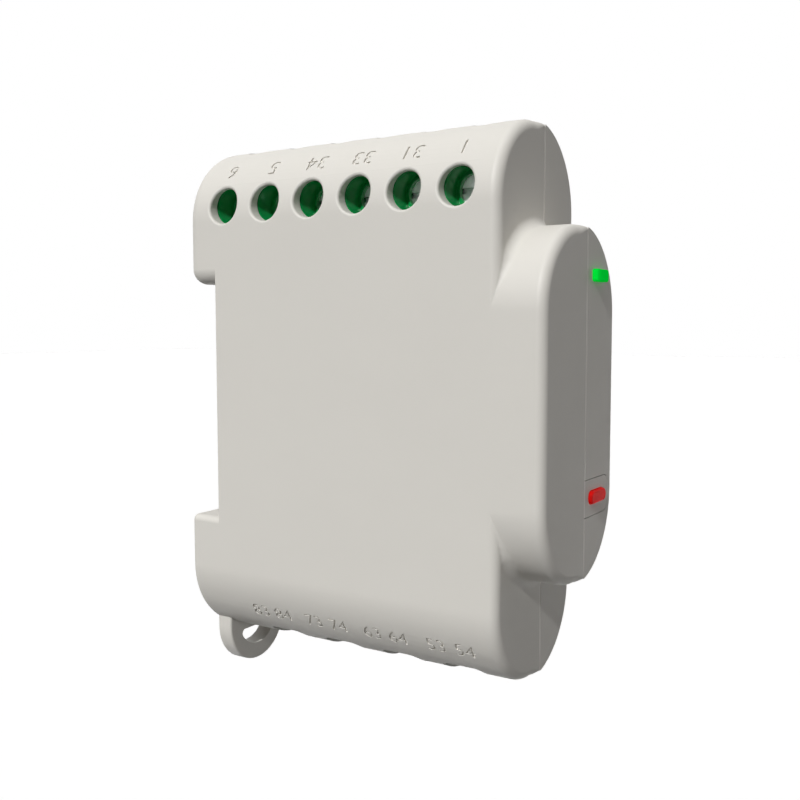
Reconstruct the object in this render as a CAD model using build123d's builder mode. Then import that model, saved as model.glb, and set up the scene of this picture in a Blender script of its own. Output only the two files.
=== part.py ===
"""A smart three-phase energy meter that clips on a 35 mm mounting rail.

Millimetres. The origin is the middle of the rail seat. X runs across the narrow width, from
the side with the screwdriver holes (-X) to the lid (+X). The front faces -Y, and +Z is up.
"""

import os
from math import cos, pi, radians, sin, sqrt

from build123d import *

# Housing
BODY_WIDTH = 27.5
BODY_HEIGHT = 90.0
BODY_DEPTH = 63.0
NOSE_INSET = 16.65
NOSE_HEIGHT = BODY_HEIGHT - 2 * NOSE_INSET
NOSE_DEPTH = 7.5
SHELL_DEPTH = 0.59 * BODY_WIDTH
WALL = 2.2
FRONT_ROUNDING = 1.6
SEAM_ROUNDING = 0.4
ROOT_ROUNDING = 1.6
BACK_ROUNDING = 1.0
SEAM_CHAMFER = 0.25

# Rail seat, with heights from the middle of the rail
RAIL_HEIGHT = 35.0
RAIL_THICKNESS = 1.0
SEAT_DEPTH = 6.8
SEAT_TOP = 22.4
SEAT_BOTTOM = 19.8
RAIL_BELOW_MIDDLE = 2.2
BODY_BELOW_RAIL = BODY_HEIGHT / 2 - RAIL_BELOW_MIDDLE
SEAT_TOP_ROUNDING = 2.7
SEAT_BOTTOM_ROUNDING = 1.2
CLAW_WIDTH = 11.5
CLAW_GRIP = 1.5
CLAW_BACK = 2.2
GRIP_CLEARANCE = 0.2

# Voltage terminals, one pole for each wire
POLES = 6
FIRST_POLE = 8.6
LAST_POLE = 7.4
POLE_PITCH = (BODY_DEPTH - FIRST_POLE - LAST_POLE) / (POLES - 1)
POLE_BELOW_TOP = 11.2
DRIVER_HOLE = 6.2
DRIVER_RIM = 0.45
WIRE_HOLE_WIDTH = 5.6
WIRE_HOLE_LENGTH = 0.232 * BODY_WIDTH
WIRE_HOLE_START = 0.324 * BODY_WIDTH
TERMINAL_GAP = 0.3
TERMINAL_BELOW_POLE = 6.2
TERMINAL_ABOVE_POLE = 7.4
COLLAR_START = 0.222 * BODY_WIDTH
COLLAR_DEPTH = 0.9
COLLAR_HOLE = 5.0
COLLAR_TUBE = 7.6
COLLAR_CLEARANCE = 0.1
CHAMBER_WIDTH = 7.0
CHAMBER_BELOW = 4.6
CHAMBER_ABOVE = 3.5
TERMINAL_FLOOR = 0.04 * BODY_WIDTH

# Terminal screw and its rising clamp cage
SCREW_HEAD = 5.6
SCREW_HEAD_DEPTH = 0.056 * BODY_WIDTH
SCREW_THREAD = 3.0
SCREW_LENGTH = 0.1163 * BODY_WIDTH
SCREW_SLOT = 0.9
SCREW_SLOT_DEPTH = 0.8
SCREW_CROSS = 0.6
SCREW_CROSS_LENGTH = 3.6
THREAD_CLEARANCE = 0.05
TURNING_CLEARANCE = 0.05
CAGE_WIDTH = 6.6
CAGE_LENGTH = 5.2
CAGE_TRAVEL = 1.6
CAGE_WALL = 0.0436 * BODY_WIDTH
CAGE_SIDE_WALL = 1.0
CAGE_BASE = 0.0364 * BODY_WIDTH
CAGE_WINDOW = 0.124 * BODY_WIDTH
CAGE_HEADROOM = 0.2
CONTACT_THICKNESS = 0.7
CONTACT_WIDTH = 3.4
CONTACT_LEG = 1.2
CONTACT_LEG_THICKNESS = 0.8

# Current inputs, one two-pin socket for each clamp
SOCKETS = 4
FIRST_SOCKET = 17.4
LAST_SOCKET = 9.15
SOCKET_PITCH = (BODY_DEPTH - FIRST_SOCKET - LAST_SOCKET) / (SOCKETS - 1)
SOCKET_HOLE_WIDTH = 7.2
SOCKET_HOLE_LENGTH = 0.29 * BODY_WIDTH
SOCKET_HOLE_START = 0.204 * BODY_WIDTH
SOCKET_HOLE_ROUNDING = 1.5
SOCKET_WALL = 1.2
SOCKET_LIP = 0.4
SOCKET_TOP = 14.2
SOCKET_BACK = 1.7
PIN_SIZE = 1.0
PIN_PITCH = 3.5
PIN_DEPTH = 2.3
PIN_RECESS = 5.6

# Circuit board, with its near face measured from the side with the holes
BOARD_NEAR = 0.64 * BODY_WIDTH
BOARD_THICKNESS = 1.6
BOARD_CLEARANCE = 0.6
BOARD_NOSE_CLEARANCE = 1.5
PIN_THROUGH = 0.9
PIN_CLEARANCE = 0.1
POST_DIAMETER = 4.6
PEG_DIAMETER = 2.2
PEG_REACH = 0.8
POST_FROM_BACK = 13.0
POST_FROM_FRONT = 6.4
POST_FROM_BASE = 19.5
POST_FROM_TOP = 23.5
LIP_DEPTH = 1.5
LIP_THICKNESS = 1.0
LIP_CLEARANCE = 0.1

# Lamp and button on the nose
LIGHT_FROM_SIDE = 0.76 * BODY_WIDTH
LIGHT_WIDTH = 0.18 * BODY_WIDTH
LIGHT_HEIGHT = 2.0
LIGHT_PROUD = 0.9
LIGHT_BELOW_TOP = 24.3
LIGHT_CORNER = 0.5
BUTTON_FROM_SIDE = 0.77 * BODY_WIDTH
BUTTON_WIDTH = 0.235 * BODY_WIDTH
BUTTON_HEIGHT = 2.1
BUTTON_PROUD = 0.6
BUTTON_ABOVE_BASE = 29.8
BUTTON_TRAVEL = 0.35
BUTTON_CLEARANCE = 0.15
FLANGE_MARGIN = 0.6
BUTTON_FLANGE_MARGIN = 0.5
FLANGE_THICKNESS = 0.5
FLANGE_GAP = 0.1
TAB_HEIGHT = 6.0
TAB_LENGTH = 0.364 * BODY_WIDTH
TAB_ROUNDING = 1.6
TAB_GAP = 0.12
SWITCH_HEIGHT = 3.6
SWITCH_DEPTH = 4.0
SWITCH_WIDTH = 6.0
PLUNGER_SIZE = 1.6
PLUNGER_PROUD = 1.6
PLUNGER_SEATED = 1.3
STEM_DIAMETER = 2.0
LED_SIZE = 3.0
LED_LENS = 2.0
LED_LENS_DEPTH = 0.6

# Rail latch
LATCH_WIDTH = 15.7
LATCH_BACK = 0.75
LATCH_THICKNESS = 3.2
LATCH_TRAVEL = 3.0
LATCH_CLEARANCE = 0.12
LATCH_LIP = 2.0
TONGUE_BACK = 2.9
TONGUE_LENGTH = 9.3
TONGUE_ABOVE_SEAT = 3.3
TONGUE_CHAMFER = 1.4
RING_DROP = 7.5
RING_BAND = 2.8
RING_HOLE_DROP = 3.6
RING_BAR = 0.8
WINDOW_WIDTH = 4.4
WINDOW_HEIGHT = 12.0
WINDOW_ABOVE_BASE = 6.0
LEDGE_HEIGHT = 1.8
LEDGE_WIDTH = 3.8
SPRING_RADIUS = 1.25
SPRING_WIRE = 0.4
SPRING_TURNS = 7
SPRING_PEG_RADIUS = 0.8
SPRING_PEG_LENGTH = 1.2
SPRING_END = 1.2

# Faces and centres that follow from the sizes above
NEAR_X = -BODY_WIDTH / 2
FAR_X = BODY_WIDTH / 2
SEAM_X = NEAR_X + SHELL_DEPTH
BACK_Y = SEAT_DEPTH
FRONT_Y = BACK_Y - BODY_DEPTH
NOSE_Y = FRONT_Y - NOSE_DEPTH
BASE_Z = -BODY_BELOW_RAIL
TOP_Z = BASE_Z + BODY_HEIGHT
MIDDLE_Z = (BASE_Z + TOP_Z) / 2
END_RADIUS = BODY_WIDTH / 2
TOP_ARC_Z = TOP_Z - END_RADIUS
BASE_ARC_Z = BASE_Z + END_RADIUS
POLE_Z = TOP_Z - POLE_BELOW_TOP
POLE_Y = [BACK_Y - FIRST_POLE - POLE_PITCH * k for k in range(POLES)]
SOCKET_Y = [BACK_Y - FIRST_SOCKET - SOCKET_PITCH * k for k in range(SOCKETS)]
BOARD_X = NEAR_X + BOARD_NEAR
BOARD_FAR_X = BOARD_X + BOARD_THICKNESS
LIGHT_X = NEAR_X + LIGHT_FROM_SIDE
BUTTON_X = NEAR_X + BUTTON_FROM_SIDE
LIGHT_Z = TOP_Z - LIGHT_BELOW_TOP
BUTTON_Z = BASE_Z + BUTTON_ABOVE_BASE
INNER_NOSE_Y = NOSE_Y + WALL
WIDE = 2 * BODY_WIDTH


def box(x, y, z, mode=Mode.ADD):
    """Adds a box between two limits on each axis to the part that is being built."""
    centre = [(low + high) / 2 for low, high in (x, y, z)]
    size = [abs(high - low) for low, high in (x, y, z)]
    with Locations(tuple(centre)):
        Box(*size, mode=mode)


def rod(start, end, diameter, mode=Mode.ADD):
    """Adds a round bar between two points to the part that is being built."""
    along = Vector(*end) - Vector(*start)
    with Locations(Plane(origin=start, z_dir=along)):
        Cylinder(diameter / 2, along.length, align=(Align.CENTER, Align.CENTER, Align.MIN), mode=mode)


def tier(height, depth, width=BODY_WIDTH, start=BACK_Y, rounding=0.0):
    """A block with fully round ends, seen from the front, that runs forward from start."""
    with BuildPart() as block:
        with BuildSketch(Plane.XZ.offset(-start)):
            with Locations((0, MIDDLE_Z)):
                SlotOverall(height, width, rotation=90)
        extrude(amount=depth)
        if rounding:
            fillet(block.faces().sort_by(Axis.Y)[0].edges(), rounding)
    return block.part


def crown_corner(x, front_y, height, radius):
    """The section, at x, of what rounds a tier's front edge near the crown of its round end."""
    top = MIDDLE_Z + height / 2 - END_RADIUS + sqrt(END_RADIUS**2 - x**2)
    margin = 2 * radius
    middle = radius * (1 - sqrt(0.5))
    with BuildSketch(Plane.YZ.offset(x)) as corner:
        with BuildLine():
            ThreePointArc((front_y, top - radius), (front_y + middle, top - middle), (front_y + radius, top))
            Polyline(
                (front_y + radius, top),
                (front_y + radius, top + margin),
                (front_y - margin, top + margin),
                (front_y - margin, top - radius),
                (front_y, top - radius),
            )
        make_face()
    return corner.sketch


def shell_tier(height, depth):
    """One tier of the deep half of the housing.

    Its front rounding keeps its size up to the crown of each round end, and fades from there to
    the seam, where the shallow half has a plain edge.
    """
    front_y = BACK_Y - depth
    with BuildPart() as near:
        add(tier(height, depth))
        split(bisect_by=Plane.YZ, keep=Keep.BOTTOM)
        rim = near.faces().sort_by(Axis.Y)[0].edges()
        fillet(rim.filter_by(lambda e: e.center().X < 0), FRONT_ROUNDING)
    with BuildPart() as corner:
        for share in (0, 1 / 3, 2 / 3, 1):
            radius = FRONT_ROUNDING + share * (SEAM_ROUNDING - FRONT_ROUNDING)
            add(crown_corner(share * SEAM_X, front_y, height, radius))
        loft()
        mirror(about=Plane.XY.offset(MIDDLE_Z))
    with BuildPart() as whole:
        add(tier(height, depth))
        split(bisect_by=Plane.YZ, keep=Keep.TOP)
        split(bisect_by=Plane.YZ.offset(SEAM_X), keep=Keep.BOTTOM)
        add(corner.part, mode=Mode.SUBTRACT)
        add(near.part)
    return whole.part


def nose_root():
    """The soft inner corner where the nose grows out of the body, on the side with the holes."""
    sharper = 1.1 * FRONT_ROUNDING
    with BuildPart() as root:
        add(tier(BODY_HEIGHT, BODY_DEPTH, rounding=sharper))
        add(tier(NOSE_HEIGHT, BODY_DEPTH + NOSE_DEPTH, rounding=sharper))
        split(bisect_by=Plane.YZ.offset(SEAM_X), keep=Keep.BOTTOM)
        corner = root.edges().filter_by(lambda e: abs(e.center().Y - FRONT_Y) < 0.01)
        fillet(corner.filter_by(lambda e: abs(e.center().Z - MIDDLE_Z) < NOSE_HEIGHT / 2), ROOT_ROUNDING)
        reach = 1.4 * ROOT_ROUNDING
        tall = NOSE_HEIGHT / 2 + 2 * reach
        near = (MIDDLE_Z - tall, MIDDLE_Z + tall)
        box((-WIDE, WIDE), (FRONT_Y - reach, FRONT_Y + reach), near, Mode.INTERSECT)
    return root.part


def shell_outside():
    """The deep half of the housing as a solid, with its rounded front edges."""
    with BuildPart() as outside:
        add(shell_tier(BODY_HEIGHT, BODY_DEPTH))
        add(shell_tier(NOSE_HEIGHT, BODY_DEPTH + NOSE_DEPTH))
        add(nose_root())
    return outside.part


def lid_outside():
    """The shallow half of the housing as a solid, with a fine chamfer along the seam."""
    with BuildPart() as outside:
        add(tier(BODY_HEIGHT, BODY_DEPTH))
        add(tier(NOSE_HEIGHT, BODY_DEPTH + NOSE_DEPTH))
        split(bisect_by=Plane.YZ.offset(SEAM_X), keep=Keep.TOP)
        chamfer(outside.faces().sort_by(Axis.X)[0].outer_wire().edges(), SEAM_CHAMFER)
    return outside.part


def cavity(shrink=0.0):
    """The hollow of the housing, or the same shape smaller by shrink on every side."""
    wall = WALL + shrink
    with BuildPart() as hollow:
        width = BODY_WIDTH - 2 * wall
        add(tier(BODY_HEIGHT - 2 * wall, BODY_DEPTH - 2 * wall, width, BACK_Y - wall))
        depth = BODY_DEPTH + NOSE_DEPTH - 2 * wall
        add(tier(NOSE_HEIGHT - 2 * wall, depth, width, BACK_Y - wall))
        box((-WIDE, WIDE), (-wall, WIDE), (2 * BASE_Z, SEAT_TOP + wall), Mode.SUBTRACT)
    return hollow.part


def cut_rail_notch(half, side_rounding):
    """Cuts the rail seat across a half of the housing and rounds its edges."""
    box((-WIDE, WIDE), (0, 2 * BACK_Y), (-SEAT_BOTTOM, SEAT_TOP), Mode.SUBTRACT)
    back = half.edges().filter_by(Axis.X).filter_by(lambda e: abs(e.center().Y - BACK_Y) < 0.01)
    fillet(back.sort_by(Axis.Z)[-1], SEAT_TOP_ROUNDING)
    back = half.edges().filter_by(Axis.X).filter_by(lambda e: abs(e.center().Y - BACK_Y) < 0.01)
    fillet(back, BACK_ROUNDING)
    if side_rounding:
        side = half.edges().filter_by(lambda e: abs(e.center().X - NEAR_X) < 0.01)
        side = side.filter_by(Axis.Y).filter_by(lambda e: e.center().Y > 0)
        side = side.filter_by(lambda e: -SEAT_BOTTOM - 0.1 < e.center().Z < SEAT_TOP + 0.1)
        fillet(side.sort_by(Axis.Z)[-1], SEAT_TOP_ROUNDING)
        side = half.edges().filter_by(lambda e: abs(e.center().X - NEAR_X) < 0.01)
        side = side.filter_by(Axis.Y).filter_by(lambda e: e.center().Y > 0)
        side = side.filter_by(lambda e: abs(e.center().Z + SEAT_BOTTOM) < 0.1)
        fillet(side, SEAT_BOTTOM_ROUNDING)


def cut_latch_channel():
    """Cuts the guide that the rail latch slides in, open at the base, the seat and the back."""
    gap = LATCH_CLEARANCE
    half = LATCH_WIDTH / 2 + gap
    back = BACK_Y - LATCH_BACK + gap
    front = BACK_Y - LATCH_BACK - LATCH_THICKNESS - gap
    height = (2 * BASE_Z, -SEAT_BOTTOM + 1)
    box((-half, half), (front, back), height, Mode.SUBTRACT)
    box((LATCH_LIP - half, half - LATCH_LIP), (front, 2 * BACK_Y), height, Mode.SUBTRACT)
    floor = -SEAT_BOTTOM + TONGUE_ABOVE_SEAT - TONGUE_LENGTH - LATCH_TRAVEL - 2 * gap
    tongue_front = RAIL_THICKNESS + GRIP_CLEARANCE - gap
    box((-half, half), (tongue_front, back), (floor, -SEAT_BOTTOM + 1), Mode.SUBTRACT)


def add_claw(x):
    """Adds the fixed claw that hangs behind the top edge of the rail."""
    front = RAIL_THICKNESS + GRIP_CLEARANCE
    tip = RAIL_HEIGHT / 2 - CLAW_GRIP
    box(x, (front, BACK_Y - CLAW_BACK), (tip, SEAT_TOP + SEAT_TOP_ROUNDING))


def posts():
    """The places of the four posts that hold the circuit board, as Y and Z."""
    rows = (BASE_Z + POST_FROM_BASE, TOP_Z - POST_FROM_TOP)
    return [(y, z) for y in (BACK_Y - POST_FROM_BACK, FRONT_Y + POST_FROM_FRONT) for z in rows]


def tab_sketch(gap=0.0):
    """The outline, on the nose's front, of the shell's tab that reaches round the button."""
    with BuildSketch(Plane.XZ) as tab:
        with Locations((SEAM_X + TAB_LENGTH / 2, BUTTON_Z)):
            RectangleRounded(TAB_LENGTH + 2 * gap, TAB_HEIGHT + 2 * gap, TAB_ROUNDING + gap)
        with Locations((SEAM_X + TAB_LENGTH / 4 - gap / 2, BUTTON_Z)):
            Rectangle(TAB_LENGTH / 2 + gap, TAB_HEIGHT + 2 * gap)
    return tab.sketch


def on_rim(point, y):
    """Whether a point lies on the driver hole of the pole at y."""
    return abs(sqrt((point.Y - y) ** 2 + (point.Z - POLE_Z) ** 2) - DRIVER_HOLE / 2) < 0.01


def case_shell():
    """The deep half of the housing: walls, terminal openings, latch guide, posts and tab."""
    with BuildPart() as shell:
        add(shell_outside())
        cut_rail_notch(shell, side_rounding=True)
        for y in POLE_Y:
            rod((NEAR_X - 1, y, POLE_Z), (NEAR_X + WALL + 1, y, POLE_Z), DRIVER_HOLE, Mode.SUBTRACT)
        fronts = shell.edges().filter_by(lambda e: e.center().X < NEAR_X + WALL / 2)
        rims = fronts.filter_by(lambda e: any(on_rim(e @ 0.5, y) for y in POLE_Y))
        fillet(rims, DRIVER_RIM)
        add(cavity(), mode=Mode.SUBTRACT)
        bore = COLLAR_TUBE + 2 * COLLAR_CLEARANCE
        for y in POLE_Y:
            rod((NEAR_X + WALL, y, POLE_Z), (NEAR_X + COLLAR_START, y, POLE_Z), bore, Mode.SUBTRACT)
        cut_latch_channel()
        claw = CLAW_WIDTH / 2
        add_claw((-claw, SEAM_X))
        ledge = ledge_limits()
        box(*ledge)
        top = ledge[2][1]
        rod((0, spring_y(), top), (0, spring_y(), top + SPRING_PEG_LENGTH), 2 * SPRING_PEG_RADIUS)
        with BuildSketch(Plane.XY.offset(TOP_ARC_Z + END_RADIUS / 2)):
            with Locations(*[(NEAR_X + WIRE_HOLE_START + WIRE_HOLE_LENGTH / 2, y) for y in POLE_Y]):
                SlotOverall(WIRE_HOLE_LENGTH, WIRE_HOLE_WIDTH)
        extrude(amount=END_RADIUS, mode=Mode.SUBTRACT)
        with BuildSketch(Plane.XY.offset(BASE_ARC_Z - END_RADIUS / 2)):
            middle = NEAR_X + SOCKET_HOLE_START + SOCKET_HOLE_LENGTH / 2
            with Locations(*[(middle, y) for y in SOCKET_Y]):
                RectangleRounded(SOCKET_HOLE_LENGTH, SOCKET_HOLE_WIDTH, SOCKET_HOLE_ROUNDING)
        extrude(amount=-END_RADIUS, mode=Mode.SUBTRACT)
        for y, z in posts():
            rod((NEAR_X + WALL / 2, y, z), (BOARD_X, y, z), POST_DIAMETER)
            rod((BOARD_X, y, z), (BOARD_FAR_X + PEG_REACH, y, z), PEG_DIAMETER)
        tab = extrude(tab_sketch(), amount=-WALL, mode=Mode.PRIVATE)
        add(tab.moved(Location((0, NOSE_Y, 0))))
        with BuildSketch(Plane.XZ.offset(-NOSE_Y)):
            with Locations((BUTTON_X, BUTTON_Z)):
                gap = 2 * BUTTON_CLEARANCE
                SlotOverall(BUTTON_WIDTH + gap, BUTTON_HEIGHT + gap)
        extrude(amount=-WALL, mode=Mode.SUBTRACT)
    return shell.part


def case_lid():
    """The shallow half of the housing, with the lip, posts and the hole for the lamp."""
    with BuildPart() as lip:
        add(cavity(LIP_CLEARANCE))
        add(cavity(LIP_CLEARANCE + LIP_THICKNESS), mode=Mode.SUBTRACT)
        box((-WIDE, SEAM_X - LIP_DEPTH), (-WIDE * 2, WIDE), (2 * BASE_Z, 2 * TOP_Z), Mode.SUBTRACT)
        box((SEAM_X + LIP_DEPTH, WIDE), (-WIDE * 2, WIDE), (2 * BASE_Z, 2 * TOP_Z), Mode.SUBTRACT)
        above = POLE_Z - TERMINAL_BELOW_POLE - LIP_DEPTH
        box((-WIDE, WIDE), (-WIDE * 2, WIDE), (above, 2 * TOP_Z), Mode.SUBTRACT)
    with BuildPart() as lid:
        add(lid_outside())
        cut_rail_notch(lid, side_rounding=False)
        add(cavity(), mode=Mode.SUBTRACT)
        cut_latch_channel()
        add_claw((SEAM_X, CLAW_WIDTH / 2))
        for y, z in posts():
            rod((BOARD_FAR_X, y, z), (FAR_X - WALL / 2, y, z), POST_DIAMETER)
            socket = PEG_DIAMETER + 2 * PIN_CLEARANCE
            depth = PEG_REACH + PIN_CLEARANCE
            rod((BOARD_FAR_X, y, z), (BOARD_FAR_X + depth, y, z), socket, Mode.SUBTRACT)
        slot = extrude(tab_sketch(TAB_GAP), amount=-2 * WALL, mode=Mode.PRIVATE)
        add(slot.moved(Location((0, NOSE_Y - WALL / 2, 0))), mode=Mode.SUBTRACT)
        with BuildSketch(Plane.XZ.offset(-NOSE_Y)):
            with Locations((LIGHT_X, LIGHT_Z)):
                RectangleRounded(LIGHT_WIDTH, LIGHT_HEIGHT, LIGHT_CORNER)
        extrude(amount=-WALL, mode=Mode.SUBTRACT)
    return lid.part


def spring_y():
    """The middle of the latch's thickness, where its spring stands."""
    return BACK_Y - LATCH_BACK - LATCH_THICKNESS / 2


def ledge_limits():
    """The shell's ledge, in the latch's window, that the spring stands on."""
    low = BASE_Z + WINDOW_ABOVE_BASE + LATCH_CLEARANCE
    front = BACK_Y - LATCH_BACK - LATCH_THICKNESS - 2 * LATCH_CLEARANCE
    back = BACK_Y - LATCH_BACK - LATCH_CLEARANCE
    return ((-LEDGE_WIDTH / 2, LEDGE_WIDTH / 2), (front, back), (low, low + LEDGE_HEIGHT))


def window_top():
    """The upper edge of the latch's window, which the spring pushes up."""
    return BASE_Z + WINDOW_ABOVE_BASE + WINDOW_HEIGHT


def rail_latch():
    """The sliding latch: plate, tongue behind the rail's lower edge, and pull ring."""
    back = BACK_Y - LATCH_BACK
    front = back - LATCH_THICKNESS
    half = LATCH_WIDTH / 2
    tongue_top = -SEAT_BOTTOM + TONGUE_ABOVE_SEAT
    with BuildPart() as latch:
        with BuildSketch(Plane.XZ.offset(-back)):
            with BuildLine():
                shoulder = tongue_top - TONGUE_LENGTH + LATCH_THICKNESS
                drop = BASE_Z - RING_DROP + half
                Polyline((-half, drop), (-half, shoulder), (half, shoulder), (half, drop))
                ThreePointArc((half, drop), (0, BASE_Z - RING_DROP), (-half, drop))
            make_face()
            with BuildLine():
                hole = half - RING_BAND
                bar = BASE_Z - RING_BAR
                Line((-hole, bar), (hole, bar))
                ThreePointArc((hole, bar), (0, bar - RING_HOLE_DROP), (-hole, bar))
            make_face(mode=Mode.SUBTRACT)
        extrude(amount=LATCH_THICKNESS)
        hole_edges = latch.edges().filter_by(Axis.Y)
        hole_edges = hole_edges.filter_by(lambda e: abs(e.center().Z - bar) < 0.01)
        fillet(hole_edges, RING_BAR)
        tongue_front = RAIL_THICKNESS + GRIP_CLEARANCE
        with BuildSketch(Plane.YZ.offset(-half)):
            with BuildLine():
                tongue_back = BACK_Y - TONGUE_BACK
                Polyline(
                    (tongue_front, tongue_top - TONGUE_LENGTH),
                    (tongue_front, tongue_top),
                    (tongue_back - TONGUE_CHAMFER, tongue_top),
                    (tongue_back, tongue_top - TONGUE_CHAMFER),
                    (tongue_back, tongue_top - TONGUE_LENGTH),
                    (tongue_front, tongue_top - TONGUE_LENGTH),
                )
            make_face()
        extrude(amount=LATCH_WIDTH)
        window = WINDOW_WIDTH / 2
        bottom = window_top() - WINDOW_HEIGHT
        box((-window, window), (front, back), (bottom, window_top()), Mode.SUBTRACT)
        top = window_top()
        rod((0, spring_y(), top), (0, spring_y(), top - SPRING_PEG_LENGTH), 2 * SPRING_PEG_RADIUS)
        bottom_edges = latch.edges().filter_by(lambda e: e.center().Z < BASE_Z)
        outer = bottom_edges.filter_by(lambda e: e.center().Z < BASE_Z - RING_BAR - RING_HOLE_DROP / 2)
        fillet(outer.filter_by(GeomType.CIRCLE).sort_by(Axis.Z)[:2], RING_BAR / 2)
    return latch.part


def biarc(start, start_way, end, end_way):
    """Adds two arcs that leave start along start_way and reach end along end_way."""
    start, end = Vector(*start), Vector(*end)
    start_way, end_way = Vector(*start_way).normalized(), Vector(*end_way).normalized()
    across = end - start
    both = start_way + end_way
    spread = 2 * (1 - start_way.dot(end_way))
    reach = (sqrt(across.dot(both) ** 2 + spread * across.dot(across)) - across.dot(both)) / spread
    middle = (start + start_way * reach + end - end_way * reach) / 2
    TangentArc(start, middle, tangent=start_way)
    TangentArc(middle, end, tangent=-end_way, tangent_from_first=False)


def latch_spring():
    """The coil spring between the shell's ledge and the top of the latch's window."""
    low = ledge_limits()[2][1]
    high = window_top()
    pitch = (high - low - 2 * SPRING_END) / SPRING_TURNS
    rise = pitch / (2 * pi * SPRING_RADIUS)
    with BuildPart() as spring:
        with BuildLine() as wire:
            foot = (SPRING_RADIUS, spring_y() - SPRING_WIRE * 2, low)
            first = (SPRING_RADIUS, foot[1], low + SPRING_WIRE)
            Line(foot, first)
            point = (SPRING_RADIUS, spring_y(), low + SPRING_END)
            biarc(first, (0, 0, 1), point, (0, 1, rise))
            for half_turn in range(1, 2 * SPRING_TURNS + 1):
                side = (-1) ** half_turn
                after = (side * SPRING_RADIUS, spring_y(), low + SPRING_END + pitch / 2 * half_turn)
                biarc(point, (0, -side, rise), after, (0, side, rise))
                point = after
            last = (SPRING_RADIUS, spring_y() + SPRING_WIRE * 2, high - SPRING_WIRE)
            biarc(point, (0, 1, rise), last, (0, 0, 1))
            Line(last, (last[0], last[1], high))
        with BuildSketch(Plane(origin=foot, z_dir=(0, 0, 1))):
            Circle(SPRING_WIRE / 2)
        sweep(path=wire.wires()[0])
    path = wire.wires()[0]
    steps = 60 * SPRING_TURNS
    points = [path @ (k / steps) for k in range(steps + 1)]
    apart = int(steps * 0.6 / SPRING_TURNS)
    pairs = ((a, b) for k, a in enumerate(points) for b in points[k + apart :])
    gap = min((a - b).length for a, b in pairs) - SPRING_WIRE
    print("least gap between the spring's turns", round(gap, 2))
    length = path.length
    volume = length * pi * SPRING_WIRE**2 / 4
    print("spring volume", round(spring.part.volume, 2), "against its length times its section", round(volume, 2))
    return spring.part


def terminal_block():
    """The green moulding that holds all six screw clamps, shaped to the housing's round top."""
    gap = TERMINAL_GAP
    low_x = NEAR_X + WALL + gap
    low_z = POLE_Z - TERMINAL_BELOW_POLE
    high_z = POLE_Z + TERMINAL_ABOVE_POLE
    end_y = POLE_Y[0] + POLE_PITCH / 2
    with BuildPart() as block:
        with BuildSketch(Plane.XZ.offset(-end_y)):
            with Locations(((low_x + BOARD_X) / 2, (low_z + high_z) / 2)):
                Rectangle(BOARD_X - low_x, high_z - low_z)
            with BuildSketch(mode=Mode.INTERSECT):
                with Locations((0, TOP_ARC_Z)):
                    Circle(END_RADIUS - WALL - gap)
                with Locations((0, TOP_ARC_Z - END_RADIUS)):
                    Rectangle(2 * (END_RADIUS - WALL - gap), 2 * END_RADIUS)
        extrude(amount=POLE_PITCH * POLES)
        collar = NEAR_X + COLLAR_START
        chamber = collar + COLLAR_DEPTH
        floor = BOARD_X - TERMINAL_FLOOR
        side = CHAMBER_WIDTH / 2
        for y in POLE_Y:
            rod((low_x, y, POLE_Z), (collar, y, POLE_Z), COLLAR_TUBE)
        for y in POLE_Y:
            rod((NEAR_X, y, POLE_Z), (collar, y, POLE_Z), DRIVER_HOLE, Mode.SUBTRACT)
            rod((collar, y, POLE_Z), (chamber, y, POLE_Z), COLLAR_HOLE, Mode.SUBTRACT)
            height = (POLE_Z - CHAMBER_BELOW, POLE_Z + CHAMBER_ABOVE)
            box((chamber, floor), (y - side, y + side), height, Mode.SUBTRACT)
            leg = CONTACT_LEG / 2 + PIN_CLEARANCE
            leg_z = POLE_Z - CHAMBER_BELOW
            slot = (leg_z, leg_z + CONTACT_LEG_THICKNESS + 2 * PIN_CLEARANCE)
            box((floor, BOARD_X), (y - leg, y + leg), slot, Mode.SUBTRACT)
        with BuildSketch(Plane.XY.offset(POLE_Z + CHAMBER_ABOVE)):
            with Locations(*[(NEAR_X + WIRE_HOLE_START + WIRE_HOLE_LENGTH / 2, y) for y in POLE_Y]):
                SlotOverall(WIRE_HOLE_LENGTH, WIRE_HOLE_WIDTH)
        extrude(amount=TERMINAL_ABOVE_POLE, mode=Mode.SUBTRACT)
    return block.part


def screw_tip_x():
    """Where a terminal screw's tip stands on its contact."""
    return NEAR_X + COLLAR_START + COLLAR_DEPTH + TURNING_CLEARANCE + SCREW_HEAD_DEPTH + SCREW_LENGTH


def terminal_screw(y):
    """A captive clamp screw, with a slot and a shorter cross slot in its head."""
    tip = screw_tip_x()
    under_head = tip - SCREW_LENGTH
    top = under_head - SCREW_HEAD_DEPTH
    with BuildPart() as screw:
        rod((top, y, POLE_Z), (under_head, y, POLE_Z), SCREW_HEAD)
        rod((under_head, y, POLE_Z), (tip, y, POLE_Z), SCREW_THREAD)
        chamfer(screw.faces().sort_by(Axis.X)[0].edges(), SCREW_SLOT / 4)
        cut = (top, top + SCREW_SLOT_DEPTH)
        half = SCREW_SLOT / 2
        box(cut, (y - SCREW_HEAD, y + SCREW_HEAD), (POLE_Z - half, POLE_Z + half), Mode.SUBTRACT)
        half = SCREW_CROSS / 2
        long = SCREW_CROSS_LENGTH / 2
        box(cut, (y - half, y + half), (POLE_Z - long, POLE_Z + long), Mode.SUBTRACT)
    return screw.part


def contact_x():
    """The near and far faces of the contacts' plates, just past the screws' tips."""
    near = screw_tip_x() + TURNING_CLEARANCE
    return near, near + CONTACT_THICKNESS


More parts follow.
